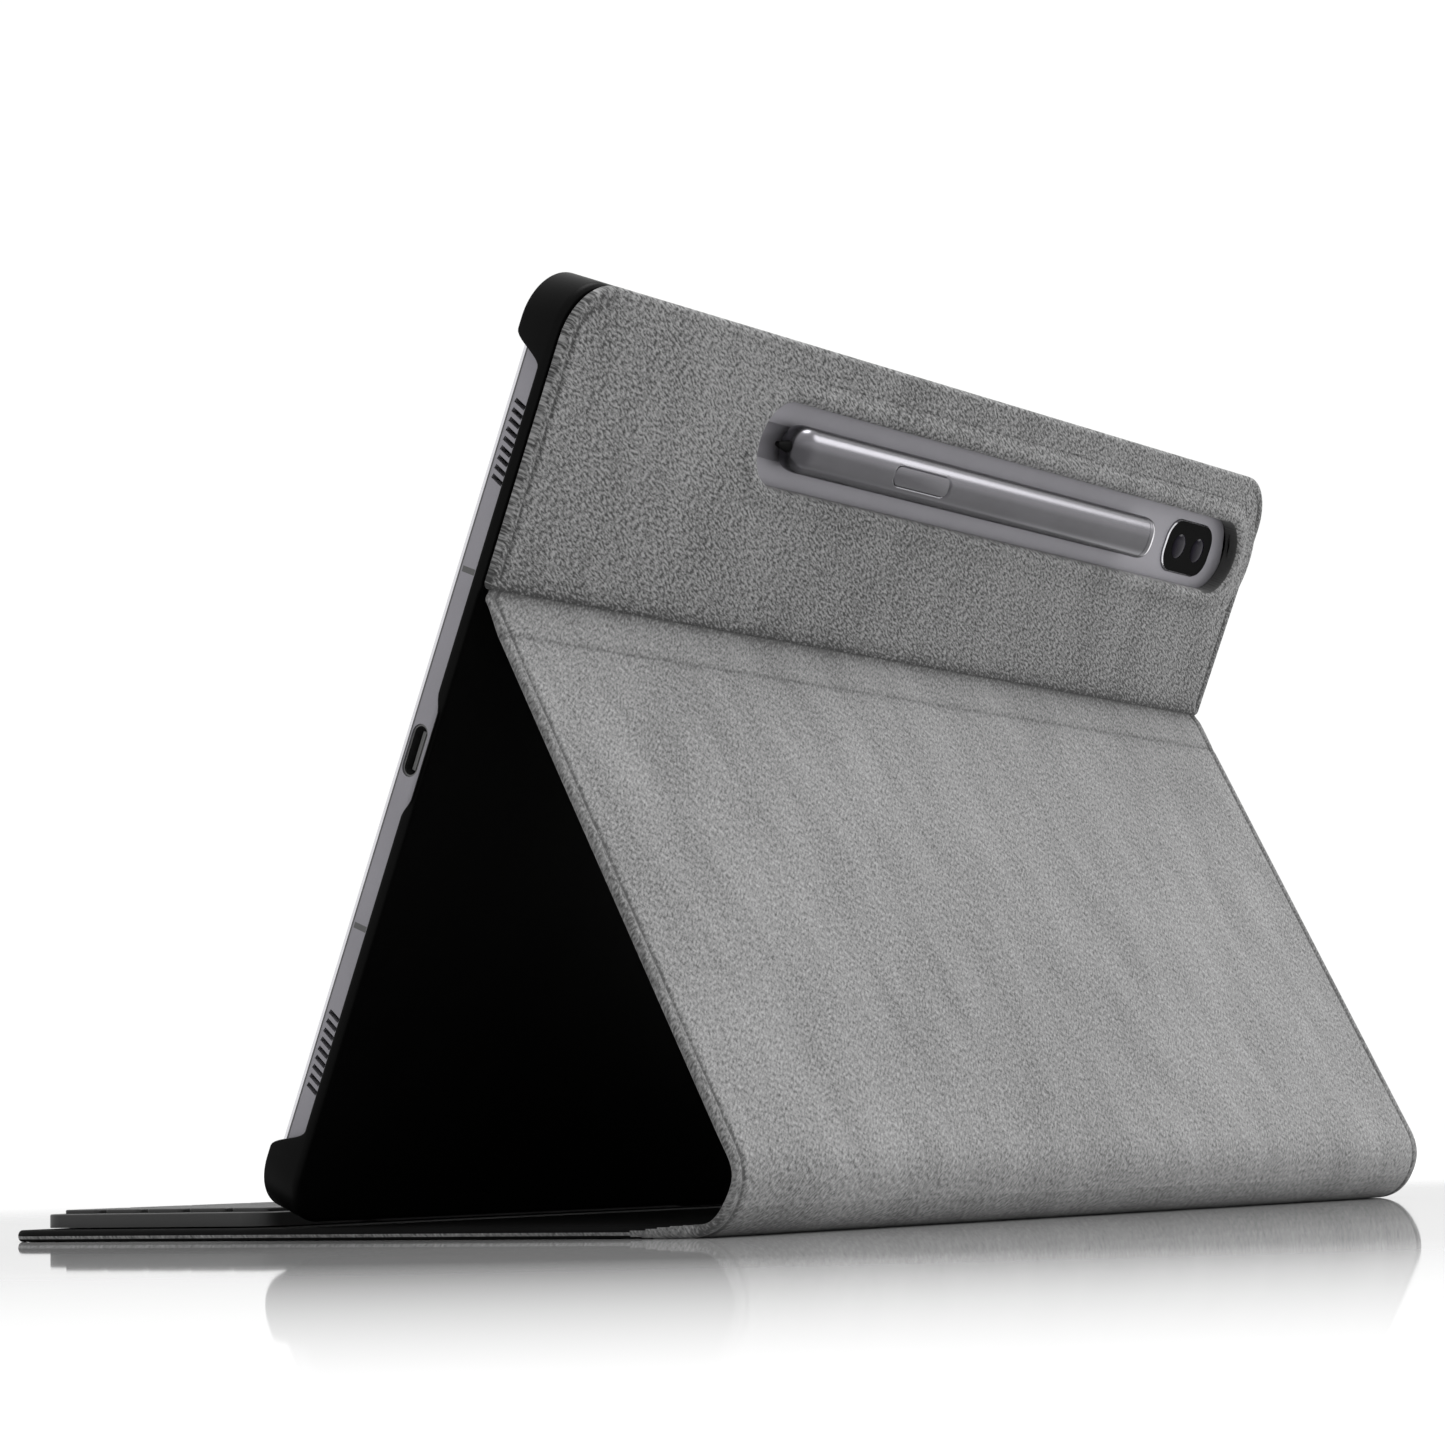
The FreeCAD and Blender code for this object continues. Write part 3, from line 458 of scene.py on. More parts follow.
def section(half, outer, inner):
    """One cross-section of a covered board, all round: (x, height, groove, tone, which part it is on); tone
    holds pressed lines and painted shade.
    """
    radius = (outer + inner) / 2
    middle = (outer - inner) / 2
    insets = [radius] + [inset for inset in FLAT_INSETS if inset > radius + 0.1]
    xs = [inset - half for inset in insets] + [half - inset for inset in reversed(insets)]
    ring = [(x, outer, groove(half - abs(x)), edge_tone(half - abs(x)), OUTER_FACE) for x in xs]
    for side, heading in ((1, 1), (-1, -1)):
        for step in range(1, EDGE_STEPS):
            turn = math.pi * step / EDGE_STEPS
            x = side * (half - radius + radius * math.sin(turn))
            # the rounded side edge is a little darker, as painted shade
            ring.append((x, middle + heading * radius * math.cos(turn), 0.0, 0.3, EDGE))
        if side == 1:
            ring += [(x, -inner, 0.0, 0.0, INNER_FACE) for x in reversed(xs)]
    return ring


def is_black(first, second, outer, inner, widened):
    """Whether the strip between two places of a section is black: lining on the inner faces and the edge's
    inner part, painted shade on the edge's outer part; widened runs from 0 to 1.
    """
    if first[4] == INNER_FACE and second[4] == INNER_FACE:
        return True
    if EDGE not in (first[4], second[4]):
        return False
    share = ((first[1] + second[1]) / 2 - (outer - inner) / 2) / ((outer + inner) / 2)
    return not LIGHT_BAND[0] - widened < share < LIGHT_BAND[1] + widened


def chain_piece(name, stations, halves, outers, inners, painted_station_shades, black_until=NEVER):
    """A covered board swept along the chain, closed at both ends.

    Painted shade darkens whole stations. The side edges are black, partly as painted shade, but for
    a thin light line, up to one distance along, and turn light after it.
    """
    points, pressed, rounds, uv_along = [], [], [], []
    for (place, outward, along), half, outer, inner, painted_station_shade in zip(stations, halves, outers, inners, painted_station_shades):
        ring = section(half, outer, inner)
        around = -half
        widths = []
        for number, (x, height, sunk, tone, _) in enumerate(ring):
            if number:
                around += math.hypot(x - ring[number - 1][0], height - ring[number - 1][1])
            widths.append(around)
            raised = height - PRESSED_DEPTH * sunk
            if height == outer:
                raised += ripple(x, along) if half - abs(x) > 6 else 0.0
            side = place + raised * outward
            points.append(Vector((x, side.x, side.y)) * MM)
            pressed.append(tone + painted_station_shade)
        rounds.append(widths)
        uv_along.append(along)
    count = len(ring)
    faces, face_slots, uvs = [], [], []
    for row in range(len(stations) - 1):
        for column in range(count):
            after = (column + 1) % count
            low, high = row * count, (row + 1) * count
            faces.append((low + column, low + after, high + after, high + column))
            widened = eased(uv_along[row], black_until - BAND_WIDENS, black_until)
            face_slots.append(int(is_black(ring[column], ring[after], outers[-1], inners[-1], widened)))
            corners = ((row, column), (row, column + 1), (row + 1, column + 1), (row + 1, column))
            for level, index in corners:
                around = rounds[level][index] if index < count else rounds[level][-1] + 0.5
                uvs.append((around * MM, uv_along[level] * MM))
    last = (len(stations) - 1) * count
    for cap, level in ((range(count - 1, -1, -1), 0), (range(last, last + count), len(stations) - 1)):
        faces.append(tuple(cap))
        face_slots.append(0)
        uvs += [(rounds[level][index % count] * MM, uv_along[level] * MM) for index in cap]
    return build(name, points, faces, ("suede", "lining"), face_slots, uvs, pressed)


def spine_curve():
    """Where the smooth round of the spine starts, turns and ends, from the cover to the flap."""
    outward = Vector((SPINE_UP.y, -SPINE_UP.x))
    middle = (SPINE_LOW + SPINE_HIGH) / 2 + 1.2 * outward
    down = (middle.y - SPINE_LOW.y) / SPINE_UP.y
    low_corner = middle - down * SPINE_UP
    start = low_corner - Vector((down, 0))
    offset = middle - SPINE_HIGH
    span = SPINE_UP.x * FLAP_UP.y - SPINE_UP.y * FLAP_UP.x
    up = (FLAP_UP.x * offset.y - FLAP_UP.y * offset.x) / span
    high_corner = middle + up * SPINE_UP
    end = high_corner + up * FLAP_UP
    return start, low_corner, middle, high_corner, end


def front_round(reach, inner):
    """Heights of the cover's outer and inner face at a distance from its rounded front edge."""
    half_thick = (SKIN_OUTER + inner) / 2
    centre = (SKIN_OUTER - inner) / 2
    share = math.sqrt(1 - (1 - reach / half_thick) ** 2) if reach < half_thick else 1.0
    return centre + share * half_thick, share * half_thick - centre


def front_cover():
    """The front cover with the lower half of the spine, to the spine's middle; its front edge is round."""
    start, low_corner, middle, _, _ = spine_curve()
    level = SPINE_LOW.y
    reaches = [0.03, 0.12, 0.3, 0.55, 0.85, 1.2, 1.8, 2.6, 3.4, 4.2, 5.0, 6.2, 8.0]
    points = [Vector((COVER_FRONT + reach, level)) for reach in reaches]
    near_spine = start - Vector((BAND_WIDENS, 0))
    points += straight(Vector((COVER_FRONT + 10, level)), near_spine, 5.0)
    points += straight(near_spine, start, 1.0)
    points += bend(start, low_corner, middle, 12) + [middle]
    stations = walk(points, 0.0)
    length = stations[-1][2]
    stations = [(place, outward, along - length) for place, outward, along in stations]
    halves, outers, inners = [], [], []
    for place, outward, along in stations:
        reach = place.x - COVER_FRONT
        near = max(0.0, COVER_CORNER - reach)
        width = (COVER_WIDTH - (COVER_WIDTH - FLAP_WIDTH) * eased(place.x, start.x - 6, start.x)) / 2
        halves.append(width - COVER_CORNER + math.sqrt(COVER_CORNER ** 2 - near ** 2))
        inner = COVER_INNER + (SPINE_INNER - COVER_INNER) * eased(along, -9, -4)
        outer, inner = front_round(reach, inner)
        outers.append(outer)
        inners.append(inner)
    # painted shade: the spine is darker towards the floor
    painted_station_shades = [0.5 * eased(place.x, start.x, start.x + 3) * (1 - eased(place.y, 1, 7))
             for place, _, _ in stations]
    flat_end = -(start - middle).length + 1.0
    made = chain_piece("front_cover_panel", stations, halves, outers, inners, painted_station_shades, flat_end)
    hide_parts("cover_outer_skin", "cover_board", "cover_lining", "spine_lower_crease")
    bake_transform(made)
    return made


def thinned(reach):
    """How much thinner the chain is near a crease, where no board stiffens it."""
    return CREASE_THINNER * math.exp(-(reach / CREASE_SPREAD) ** 2)


def flap():
    """The upper half of the spine with the flap, up to the soft fold band."""
    _, _, middle, high_corner, end = spine_curve()
    top = FOLD - FOLD_BAND * FLAP_UP
    close = top - 3.0 * FLAP_UP
    points = bend(middle, high_corner, end, 12) + straight(end, close, 3.0)
    points += straight(close, top, 0.5) + [top]
    stations = walk(points, 0.0)
    length = stations[-1][2]
    bent = (high_corner - middle).length
    outers = [SKIN_OUTER - CREASE_STEP * eased(along, length - CREASE_REACH, length)
              for _, _, along in stations]
    inners = [SPINE_INNER + (FLAP_INNER - SPINE_INNER) * eased(along, 3, 12) - thinned(along - bent)
              for _, _, along in stations]
    # painted shade at the crease at the flap's top end
    painted_station_shades = [CREASE_SHADE * math.exp((along - length) / 0.5) for _, _, along in stations]
    made = chain_piece("flap_panel", stations, [FLAP_WIDTH / 2] * len(stations), outers, inners, painted_station_shades)
    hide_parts("spine_outer_skin", "spine_stiffener", "spine_lining", "spine_upper_crease",
                "flap_outer_skin", "flap_board", "flap_lining")
    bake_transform(made)
    return length


def fold_band(flap_length):
    """The soft band at the fold, whose upper end is glued under the upper panel's edge."""
    bottom = FOLD - FOLD_BAND * FLAP_UP
    before = FOLD - BAND_BEFORE * FLAP_UP
    tucked = FOLD + BAND_TUCK[0] * SHELL_UP + BAND_TUCK[1] * TO_SCREEN
    last = tucked + BAND_GLUED * SHELL_UP
    points = straight(bottom, bottom + 2 * FLAP_UP, 0.5) + straight(bottom + 2 * FLAP_UP, before, 1.0)
    points += bend(before, FOLD + 0.2 * TO_SCREEN, tucked, 10) + straight(tucked, last, 1.0) + [last]
    stations = walk(points, flap_length)
    outers = [SKIN_OUTER - CREASE_STEP * (1 - eased(along, flap_length, flap_length + CREASE_REACH))
              for _, _, along in stations]
    tuck = stations[-1][2] - BAND_HIDDEN
    halves = [FLAP_WIDTH / 2 - (FLAP_WIDTH - PANEL_WIDTH + 2) / 2 * eased(along, tuck - 2.2, tuck)
              for _, _, along in stations]
    inners = [FLAP_INNER - (FLAP_INNER - BAND_INNER) * eased(along, flap_length, flap_length + 6)
              for _, _, along in stations]
    # painted shade at the flap's crease, and under the upper panel's edge where the band is tucked
    painted_station_shades = [CREASE_SHADE * math.exp((flap_length - along) / 0.5)
             + 1.1 * math.exp(min(along - tuck, 0) / 1.5) for _, _, along in stations]
    made = chain_piece("fold_band", stations, halves, outers, inners, painted_station_shades)
    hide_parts("fold_band_cloth", "fold_crease")
    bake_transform(made)
    return made


# ---------------------------------------------------------------- rings between the window and an outline
def outline(half, low, high, low_radius, high_radius, inset, sides, ends, corner_steps):
    """A round-cornered outline moved inwards: (x, up, sideways share of its outward direction)."""
    radii = [max(radius - inset, 0.3) for radius in (high_radius, high_radius, low_radius, low_radius)]
    reach = [inset + radius for radius in radii]
    x_side = half - inset
    corners = [(half - reach[0], high - reach[0]), (-half + reach[1], high - reach[1]),
               (-half + reach[2], low + reach[2]), (half - reach[3], low + reach[3])]
    points = []
    for number, (cx, cy) in enumerate(corners):
        before = corners[number - 1]
        if number % 2 == 0:
            x = x_side if number == 0 else -x_side
            points += [(x, before[1] + (cy - before[1]) * share, 1.0) for share in sides]
        else:
            y = high - inset if number == 1 else low + inset
            points += [(before[0] + (cx - before[0]) * share, y, 0.0) for share in ends]
        for step in range(1, corner_steps):
            turn = math.pi / 2 * (number + step / corner_steps)
            points.append((cx + radii[number] * math.cos(turn), cy + radii[number] * math.sin(turn),
                           abs(math.cos(turn))))
    return points


def window_ring(grow, side_count, end_count, corner_steps):
    """The window's shape grown outwards, with as many points as the outline, in the same order."""
    radius = WINDOW_RADIUS + grow
    right = WINDOW_LEFT - WINDOW_RADIUS
    left = WINDOW_RIGHT + WINDOW_RADIUS
    corner = corner_steps - 1
    turns = side_count + corner
    runs = end_count + corner
    lead = corner / 2
    points = []
    for number in range(2 * (turns + runs)):
        place = (number + lead + 0.5) % (2 * (turns + runs))
        if place < turns:
            turn = math.pi * (place / turns - 0.5)
            points.append((right + radius * math.cos(turn), WINDOW_MIDDLE + radius * math.sin(turn)))
        elif place < turns + runs:
            share = (place - turns) / runs
            points.append((right + (left - right) * share, WINDOW_MIDDLE + radius))
        elif place < 2 * turns + runs:
            turn = math.pi * ((place - turns - runs) / turns + 0.5)
            points.append((left + radius * math.cos(turn), WINDOW_MIDDLE + radius * math.sin(turn)))
        else:
            share = (place - 2 * turns - runs) / runs
            points.append((left + (right - left) * share, WINDOW_MIDDLE - radius))
    return points


def ring_piece(name, rings, ring_slots, slots, along_offset=0.0):
    """A closed body from rings of (x, up, depth, pressed lines and painted shade), the last joined to the
    first.
    """
    count = len(rings[0])
    points = [on_shell(x, up, depth) for ring in rings for x, up, depth, _ in ring]
    pressed = [press for ring in rings for *_, press in ring]
    flat = [(x * MM, (up + along_offset) * MM) for ring in rings for x, up, *_ in ring]
    faces, face_slots, uvs = [], [], []
    for row in range(len(rings)):
        above = (row + 1) % len(rings)
        for column in range(count):
            after = (column + 1) % count
            face = (row * count + column, row * count + after, above * count + after,
                    above * count + column)
            faces.append(face)
            face_slots.append(ring_slots[row])
            uvs += [flat[corner] for corner in face]
    return build(name, points, faces, slots, face_slots, uvs, pressed)


def spaced(length, fine_ends, fine, coarse):
    """Shares from 0 to 1 along a side, close together near both ends."""
    places = [step * fine for step in range(int(fine_ends / fine))]
    middle_steps = max(1, round((length - 2 * fine_ends) / coarse))
    middle = [fine_ends + (length - 2 * fine_ends) * step / middle_steps
              for step in range(middle_steps + 1)]
    return [place / length for place in places + middle + [length - place for place in reversed(places)]]


def upper_panel(flap_length):
    """The suede-covered panel on the shell, with the pen window and the soft raised rim round it."""
    sides = spaced(42, 6, 0.6, 0.8)
    ends = spaced(228, 4, 1.0, 3.0)
    corner_steps = 12
    rings, ring_slots = [], []

    def add_window(grow, depth, slot):
        """A ring round the window, whose wall gets painted shade at the end away from the port side."""
        ring = window_ring(grow, len(sides), len(ends), corner_steps)
        shade = WALL_SHADE if depth > 0.1 else 0.0
        rings.append([(x, up, depth + 0.4 * ripple(x, up), shade * eased(-x, 107, 112))
                      for x, up in ring])
        ring_slots.append(slot)

    def add_outline(inset, depth, slot, sunk=0.0):
        ring = outline(PANEL_WIDTH / 2, PANEL_BOTTOM, PANEL_TOP, 1.2, PANEL_CORNER, inset, sides, ends,
                       corner_steps)
        # pressed lines on the sides, and painted shade fading upwards from the panel's bottom edge by the
        # fold
        rings.append([(x, up, depth + sunk * sideways * PRESSED_DEPTH,
                       edge_tone(inset) * sideways + 1.1 * math.exp((PANEL_BOTTOM - up) / 1.6))
                      for x, up, sideways in ring])
        ring_slots.append(slot)

    rim = [(-0.15, WINDOW_WALL), (-0.15, 0.7), (-0.05, 0.3), (0.2, 0.0), (0.6, -0.26), (1.1, -0.42),
           (1.7, -0.48), (2.4, -0.42), (3.1, -0.24), (3.8, -0.04), (4.5, 0.09), (5.2, 0.1), (6.0, 0.04),
           (7.0, 0.0)]
    add_window(0.45, PANEL_INNER, 1)
    add_window(LINING_OUT, PANEL_INNER, 1)
    add_window(LINING_OUT, WINDOW_WALL, 1)
    for grow, depth in rim:
        add_window(grow, depth, 0)
    for inset in (5.6, 4.6, 3.8, 3.2, 2.8, 2.5, 2.2, 1.9, 1.6, 1.3):
        add_outline(inset, 0.0, 0, groove(inset))
    for step in range(7):
        turn = math.pi / 2 * step / 6
        add_outline(0.9 * (1 - math.sin(turn)), 0.7 * (1 - math.cos(turn)), 0)
    add_outline(0.0, PANEL_INNER - 0.2, 0)
    add_outline(0.2, PANEL_INNER, 1)
    made = ring_piece("upper_panel", rings, ring_slots, ("panel_suede_painted_shade", "lining"),
                      flap_length + FOLD_BAND - CREASE_HEIGHT)
    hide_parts("upper_panel_skin", "upper_panel_board", "window_welt")
    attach(made, "shell")


def wall_top(x, up):
    """Height of the shell's wall round its edge, and how much of a corner grip it is, from 0 to 1."""
    from_middle = abs(up - SHELL_HEIGHT / 2)
    along_short = eased(from_middle, SHELL_HEIGHT / 2 - GRIP_SHORT - GRIP_SLOPE / 2,
                        SHELL_HEIGHT / 2 - GRIP_SHORT + GRIP_SLOPE / 2)
    along_long = eased(abs(x), SHELL_LENGTH / 2 - GRIP_LONG - GRIP_SLOPE / 2,
                       SHELL_LENGTH / 2 - GRIP_LONG + GRIP_SLOPE / 2)
    grip = along_short * along_long
    top = RIM_TOP + (GRIP_TOP - RIM_TOP) * grip
    if x > SHELL_LENGTH / 2 - SHELL_CORNER:
        top -= (RIM_TOP - NOTCH_FLOOR) * (1 - eased(from_middle, 7.3, 10.6))
    if up < SHELL_CORNER:
        top -= (RIM_TOP - NOTCH_FLOOR) * (1 - eased(abs(x), 10.8, 11.6))
    return top, grip


def hard_shell():
    """The black tray that grips the tablet, its corner grips flowing out of the low rim."""
    sides = spaced(SHELL_HEIGHT - 2 * SHELL_CORNER, 14, 0.5, 1.0)
    ends = spaced(SHELL_LENGTH - 2 * SHELL_CORNER, 16, 0.5, 2.4)
    corner_steps = 18
    rings = []

    def add_window(grow, depth):
        ring = window_ring(grow, len(sides), len(ends), corner_steps)
        rings.append([(x, up, depth, 0.0) for x, up in ring])

    def edge(inset):
        return outline(SHELL_LENGTH / 2, 0, SHELL_HEIGHT, SHELL_CORNER, SHELL_CORNER, inset, sides, ends,
                       corner_steps)

    tops = [wall_top(x, up) for x, up, _ in edge(0.0)]

    def add_outline(inset, depth_of):
        rings.append([(x, up, depth_of(top), 0.0) for (x, up, _), (top, _) in zip(edge(inset), tops)])

    def add_lip(depth_of):
        """The wall's inner edge, which reaches over the tablet at the grips."""
        rings.append([(x0 + (x1 - x0) * grip, y0 + (y1 - y0) * grip, depth_of(top), 0.0)
                      for (x0, y0, _), (x1, y1, _), (top, grip)
                      in zip(edge(SHELL_WALL), edge(SHELL_WALL + LIP), tops)])

    add_window(0.0, SHELL_INSIDE)
    add_window(0.0, SHELL_OUTSIDE + 0.15)
    add_window(0.15, SHELL_OUTSIDE)
    add_outline(1.4, lambda top: SHELL_OUTSIDE)
    for step in range(7):
        turn = math.pi / 2 * step / 6
        depth = SHELL_OUTSIDE + SHELL_ROUND * (1 - math.cos(turn))
        add_outline(SHELL_ROUND * (1 - math.sin(turn)), lambda top, depth=depth: min(depth, top - 0.45))
    wide, high = WALL_ROUND
    add_outline(0.0, lambda top: top - high)
    for step in range(1, 6):
        turn = math.pi / 2 * step / 5
        add_outline(wide * (1 - math.cos(turn)), lambda top, turn=turn: top - high * (1 - math.sin(turn)))
    add_lip(lambda top: top)
    add_lip(lambda top: max(top - LIP_THICKNESS, SHELL_INSIDE + 0.05))
    add_outline(SHELL_WALL, lambda top: max(top - LIP_THICKNESS, SHELL_INSIDE + 0.03))
    add_outline(SHELL_WALL, lambda top: SHELL_INSIDE)
    made = ring_piece("hard_shell", rings, [0] * len(rings), ("shell_plastic",))
    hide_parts("back_shell", "corner_lips")
    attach(made, "shell")


# ---------------------------------------------------------------- tablet and pen
def capped_piece(name, bodies, slots):
    """Closed bodies, each from (ring, slot) rows from its outer or port end, with a face at both ends."""
    points, faces, face_slots, shades = [], [], [], []
    for rows in bodies:
        first = len(points)
        count = len(rows[0][0])
        for x, up, depth, *shade in (place for ring, _ in rows for place in ring):
            points.append(on_shell(x, up, depth))
            shades.append(shade[0] if shade else 0.0)
        for number in range(len(rows) - 1):
            low = first + number * count
            for column in range(count):
                after = (column + 1) % count
                faces.append((low + column, low + after, low + count + after, low + count + column))
                face_slots.append(rows[number][1])
        last = first + (len(rows) - 1) * count
        faces += [tuple(range(first + count - 1, first - 1, -1)), tuple(range(last, last + count))]
        face_slots += [rows[0][1], rows[-1][1]]
    return build(name, points, faces, slots, face_slots, pressed=shades)


def front_glass():
    """The tablet's black front glass, with a polished round edge over a thin dark seam."""
    sides = spaced(145.1, 6, 1.5, 8)
    ends = spaced(230.1, 6, 1.5, 8)
    profile = [(1.2, GLASS_BACK, 2), (-0.03, GLASS_BACK, 2), (-0.03, GLASS_BACK + 0.26, 1),
               (-0.04, GLASS_BACK + 0.3, 1), (-0.04, GLASS_FRONT - 0.35, 1), (0.03, GLASS_FRONT - 0.17, 1),
               (0.18, GLASS_FRONT - 0.05, 1), (0.4, GLASS_FRONT, 0), (0.6, GLASS_FRONT, 0)]
    rows = []
    for inset, depth, slot in profile:
        ring = outline(TABLET_LENGTH / 2, TABLET_LOW, TABLET_HIGH, TABLET_CORNER, TABLET_CORNER, inset,
                       sides, ends, 12)
        rows.append(([(x, up, depth) for x, up, _ in ring], slot))
    made = capped_piece("front_glass", [rows], ("front_glass", "polished", "antenna"))
    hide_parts("tablet_glass")
    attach(made, "tablet")


def camera_plate():
    """The black camera plate in a polished bevel, and two slightly domed lenses."""
    profile = [(1.2, PLATE_OUTER, 0), (0.4, PLATE_OUTER, 0), (0.32, PLATE_OUTER, 1),
               (0.1, PLATE_OUTER + 0.2, 1), (0.08, PLATE_OUTER + 2.2, 1)]
    rows = []
    for inset, depth, slot in profile:
        ring = outline(PLATE_LENGTH / 2, WINDOW_MIDDLE - PLATE_WIDTH / 2, WINDOW_MIDDLE + PLATE_WIDTH / 2,
                       PLATE_CORNER, PLATE_CORNER, inset, (0.0, 0.5), (0.0, 0.5), 12)
        rows.append(([(PLATE_X + x, up, depth) for x, up, _ in ring], slot))
    made = capped_piece("camera_glass", [rows], ("camera_black", "polished"))
    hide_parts("camera_plate")
    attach(made, "tablet")

    dome = [(0.25, -0.42), (0.5, -0.38), (0.75, -0.28), (0.92, -0.16), (1.0, -0.04), (1.0, 0.5)]
    lenses = []
    for middle in (PLATE_X - LENS_OFFSET, PLATE_X + LENS_OFFSET):
        turns = [math.tau * step / 40 for step in range(40)]
        lenses.append([([(middle + share * LENS_RADIUS * math.cos(turn),
                          WINDOW_MIDDLE + share * LENS_RADIUS * math.sin(turn), PLATE_OUTER + raised)
                         for turn in turns], 0) for share, raised in dome])
    made = capped_piece("lens_domes", lenses, ("lens",))
    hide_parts("camera_lenses")
    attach(made, "tablet")


def button_dip(x, up):
    """Depth of the seat round the pen's button."""
    half, radius = PEN_BUTTON_SEAT
    inside = radius - math.hypot(max(0.0, abs(x - PEN_BUTTON_MIDDLE) - half), up - WINDOW_MIDDLE)
    return 0.4 * eased(inside, -0.12, 0.16)


def pen_painted_shade(up):
    """Painted shade of the pen at that height; it is darkest a little below its middle, lighter again at
    its lower edge.
    """
    lower = 0.5 - (up - WINDOW_MIDDLE) / PEN_WIDTH
    return 0.65 * eased(lower, 0.2, 0.5) * (1 - eased(lower, 0.76, 0.9))


def pen_button():
    """The button in the pen's side, a flat stadium just under the barrel's surface."""
    rows = []
    for inset, depth in ((0.35, PEN_OUTER + 0.14), (0.0, PEN_OUTER + 0.2), (0.0, PEN_OUTER + 0.62)):
        half, radius = PEN_BUTTON_SEAT[0], PEN_BUTTON_RADIUS - inset
        ring = []
        for step in range(48):
            turn = math.tau * (step + 0.5) / 48
            x = PEN_BUTTON_MIDDLE + math.copysign(half, math.cos(turn)) + radius * math.cos(turn)
            up = WINDOW_MIDDLE + radius * math.sin(turn)
            ring.append((x, up, depth, pen_painted_shade(up)))
        rows.append((ring, 0))
    made = capped_piece("pen_button_top", [rows], ("pen_metal",))
    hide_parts("pen_button")
    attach(made, "pen_button")


def pen():
    """The pen's rounded metal barrel with its narrowing nose, button seat and polished end ring."""
    middle = (PEN_OUTER + PEN_INNER) / 2
    half_deep = (PEN_INNER - PEN_OUTER) / 2
    roundness = 2 / 2.6
    nose = [(0.0, 0.26), (0.05, 0.34), (0.25, 0.50), (0.6, 0.64), (1.1, 0.77), (1.8, 0.88), (2.7, 0.96),
            (3.8, 1.0)]
    lengths = [(PEN_LEFT - reach, share, 0) for reach, share in nose]
    lengths += [(x, 1.0, 0) for x in (50, 45, 40, 35, 30, 27)]
    lengths += [(25 - 0.4 * step, 1.0, 0) for step in range(54)]
    lengths += [(x, 1.0, 0) for x in range(0, -72, -6)]
    end = [(2.7, 1.0, 0), (2.6, 0.975, 0), (2.45, 0.975, 0), (2.35, 1.0, 0), (1.1, 1.0, 1), (0.5, 0.985, 1),
           (0.15, 0.93, 1), (0.0, 0.84, 0)]
    lengths += [(PEN_RIGHT + reach, share, slot) for reach, share, slot in end]
    turns = [math.tau * (step + 0.5) / 96 for step in range(96)]
    rows = []
    for x, share, slot in lengths:
        ring = []
        for turn in turns:
            up = share * PEN_WIDTH / 2 * math.copysign(abs(math.cos(turn)) ** roundness, math.cos(turn))
            out = share * half_deep * math.copysign(abs(math.sin(turn)) ** roundness, math.sin(turn))
            if out > 0:
                out -= button_dip(x, WINDOW_MIDDLE + up)
            ring.append((x, WINDOW_MIDDLE + up, middle - out, pen_painted_shade(WINDOW_MIDDLE + up)))
        rows.append((ring, slot))
    made = capped_piece("pen_body", [rows], ("pen_metal", "polished"))
    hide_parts("pen_barrel", "pen_end_cap")
    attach(made, "pen")


# ---------------------------------------------------------------- floor, light and camera
def floor():
    """A pale polished floor, most polished near the case."""
    mesh = bpy.data.meshes.new("floor")
    corners = [(-FLOOR_HALF, -FLOOR_HALF, 0), (FLOOR_HALF, -FLOOR_HALF, 0), (FLOOR_HALF, FLOOR_HALF, 0),
               (-FLOOR_HALF, FLOOR_HALF, 0)]
    mesh.from_pydata(corners, [], [(0, 1, 2, 3)])
    made = bpy.data.objects.new("floor", mesh)
    made.location.z = -0.00003
    bpy.context.scene.collection.objects.link(made)
    material = bpy.data.materials.new("floor")
    material.use_nodes = True
    tree = material.node_tree
    tree.nodes.remove(tree.nodes["Principled BSDF"])
    matt = tree.nodes.new("ShaderNodeBsdfDiffuse")
    shine = tree.nodes.new("ShaderNodeBsdfAnisotropic")
    shine.inputs["Roughness"].default_value = 0.03
    fresnel = tree.nodes.new("ShaderNodeFresnel")
    fresnel.inputs["IOR"].default_value = 1.45
    place = tree.nodes.new("ShaderNodeTexCoord")
    length = tree.nodes.new("ShaderNodeVectorMath")
    length.operation = "LENGTH"
    tree.links.new(place.outputs["Object"], length.inputs[0])
    distance = length.outputs["Value"]
    fade = range_node(tree, distance, *FLOOR_SHINE, 1.0, 0.0)
    (near, near_tone), (far, far_tone) = FLOOR_TONE
    pale = range_node(tree, distance, near, far, near_tone, far_tone)
    tree.links.new(pale.outputs["Result"], matt.inputs["Color"])
    share = math_node(tree, "MULTIPLY", fade.outputs["Result"], fresnel.outputs[0])
    mix = tree.nodes.new("ShaderNodeMixShader")
    tree.links.new(share, mix.inputs[0])
    tree.links.new(matt.outputs[0], mix.inputs[1])
    tree.links.new(shine.outputs[0], mix.inputs[2])
    tree.links.new(mix.outputs[0], tree.nodes["Material Output"].inputs["Surface"])
    mesh.materials.append(material)


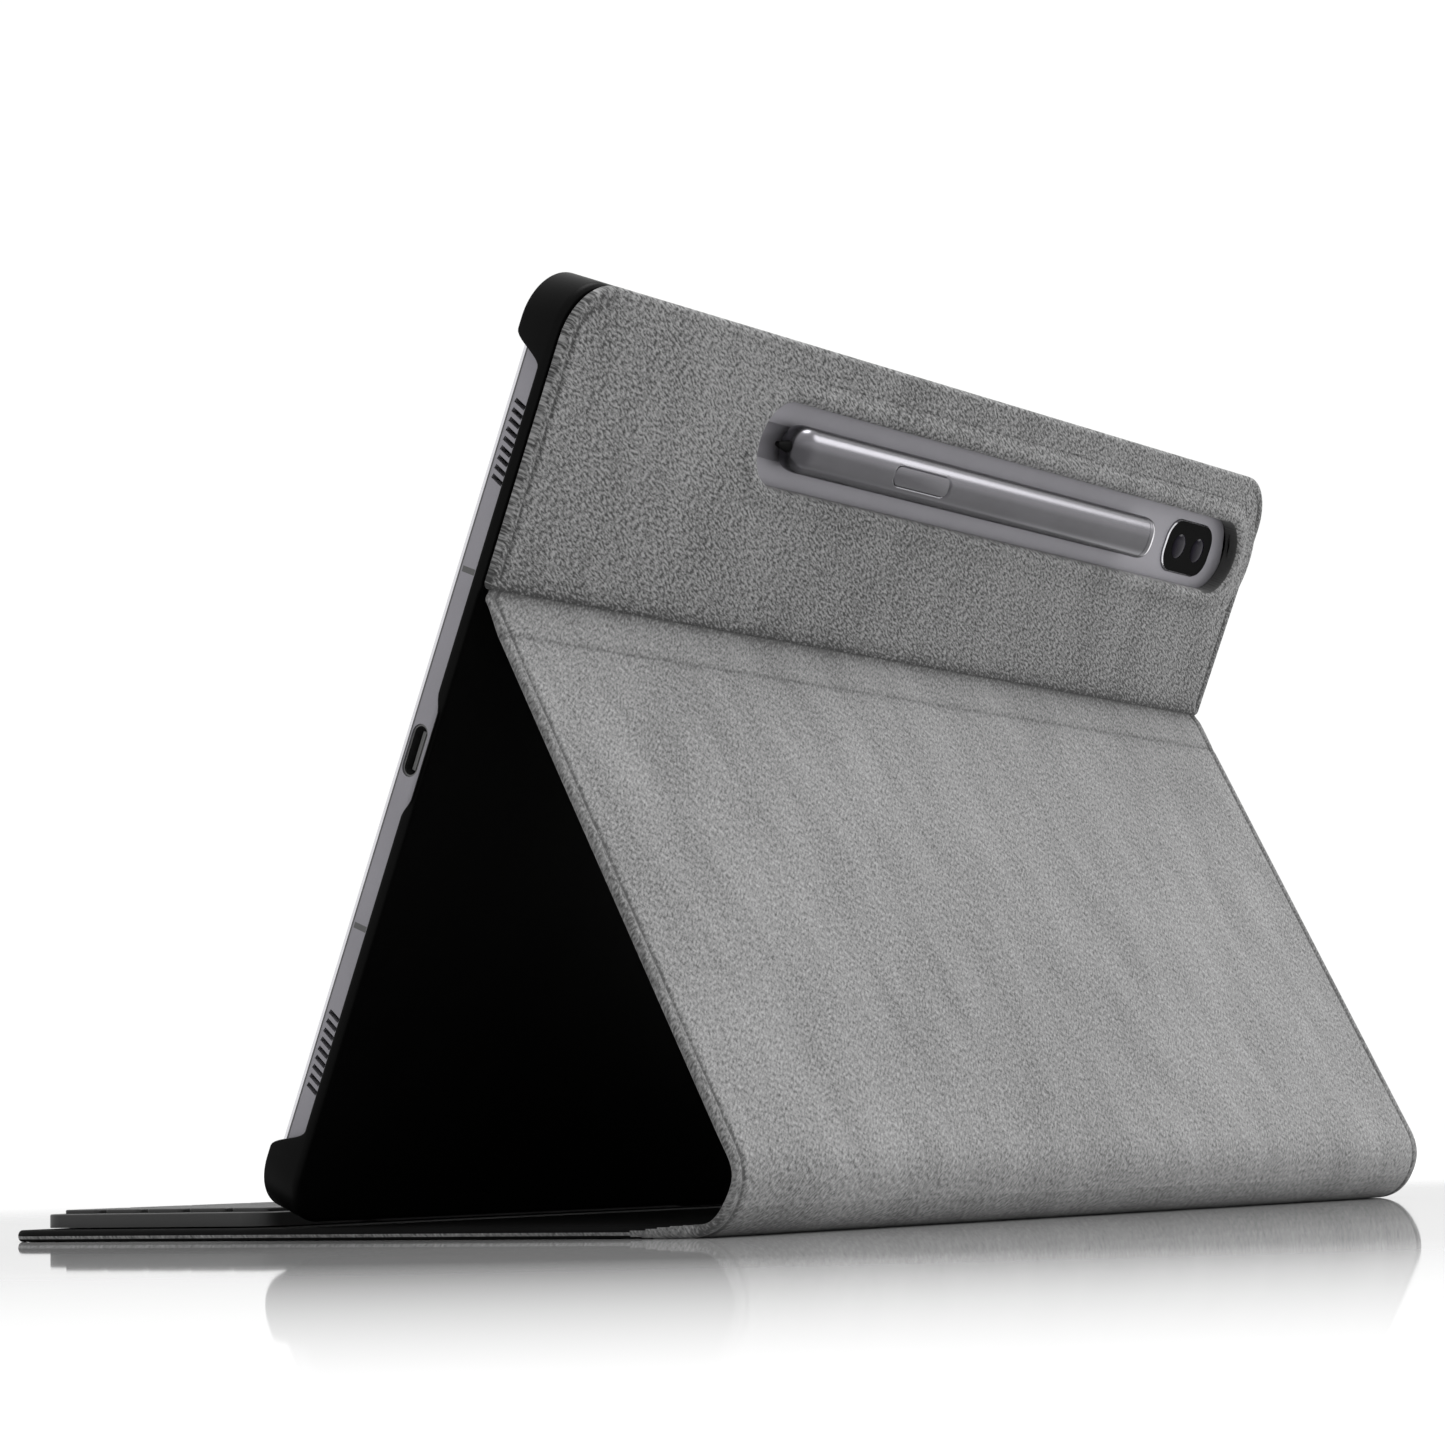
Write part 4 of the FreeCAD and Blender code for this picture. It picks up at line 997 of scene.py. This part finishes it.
def studio_light():
    """A white surround, a large soft key light above the rear, and a weak fill on the far rear side."""
    world = bpy.data.worlds.new("studio")
    bpy.context.scene.world = world
    world.use_nodes = True
    tree = world.node_tree
    background = tree.nodes["Background"]
    background.inputs["Color"].default_value = (1, 1, 1, 1)
    heading = tree.nodes.new("ShaderNodeTexCoord")
    split = tree.nodes.new("ShaderNodeSeparateXYZ")
    tree.links.new(heading.outputs["Generated"], split.inputs[0])
    level = range_node(tree, split.outputs["Z"], 0.35, 1.0, *SKY)
    level.interpolation_type = "SMOOTHSTEP"
    tree.links.new(level.outputs["Result"], background.inputs["Strength"])
    for name, place, size, power in LIGHTS:
        data = bpy.data.lights.new(name, "AREA")
        data.shape = "DISK"
        data.size = size
        data.energy = power
        light = bpy.data.objects.new(name, data)
        light.location = place
        light.rotation_euler = (Vector((0, 0, 0.05)) - Vector(place)).to_track_quat("-Z", "Y").to_euler()
        bpy.context.scene.collection.objects.link(light)


def viewpoint():
    """The camera almost on the floor, behind the case on its port side."""
    place = Vector(VIEW_PLACE)
    azimuth, elevation, roll = (math.radians(angle) for angle in VIEW_ANGLES)
    back = Vector((math.sin(azimuth) * math.cos(elevation), -math.cos(azimuth) * math.cos(elevation),
                   math.sin(elevation)))
    right = Vector((0, 0, 1)).cross(back).normalized()
    up = back.cross(right)
    turned_right = math.cos(roll) * right + math.sin(roll) * up
    turned_up = math.cos(roll) * up - math.sin(roll) * right
    data = bpy.data.cameras.new("camera")
    data.sensor_width = 36.0
    data.lens = VIEW_LENS
    data.shift_x, data.shift_y = VIEW_SHIFT
    data.clip_start = 0.01
    made = bpy.data.objects.new("camera", data)
    rotation = Matrix((turned_right, turned_up, back)).transposed()
    made.matrix_world = Matrix.Translation(place) @ rotation.to_4x4()
    bpy.context.scene.collection.objects.link(made)
    bpy.context.scene.camera = made


finish_cad_nodes()
front_cover()
flap_length = flap()
fold_band(flap_length)
upper_panel(flap_length)
hard_shell()
front_glass()
camera_plate()
pen()
pen_button()
floor()
studio_light()
viewpoint()
bpy.context.scene.view_settings.view_transform = "Standard"
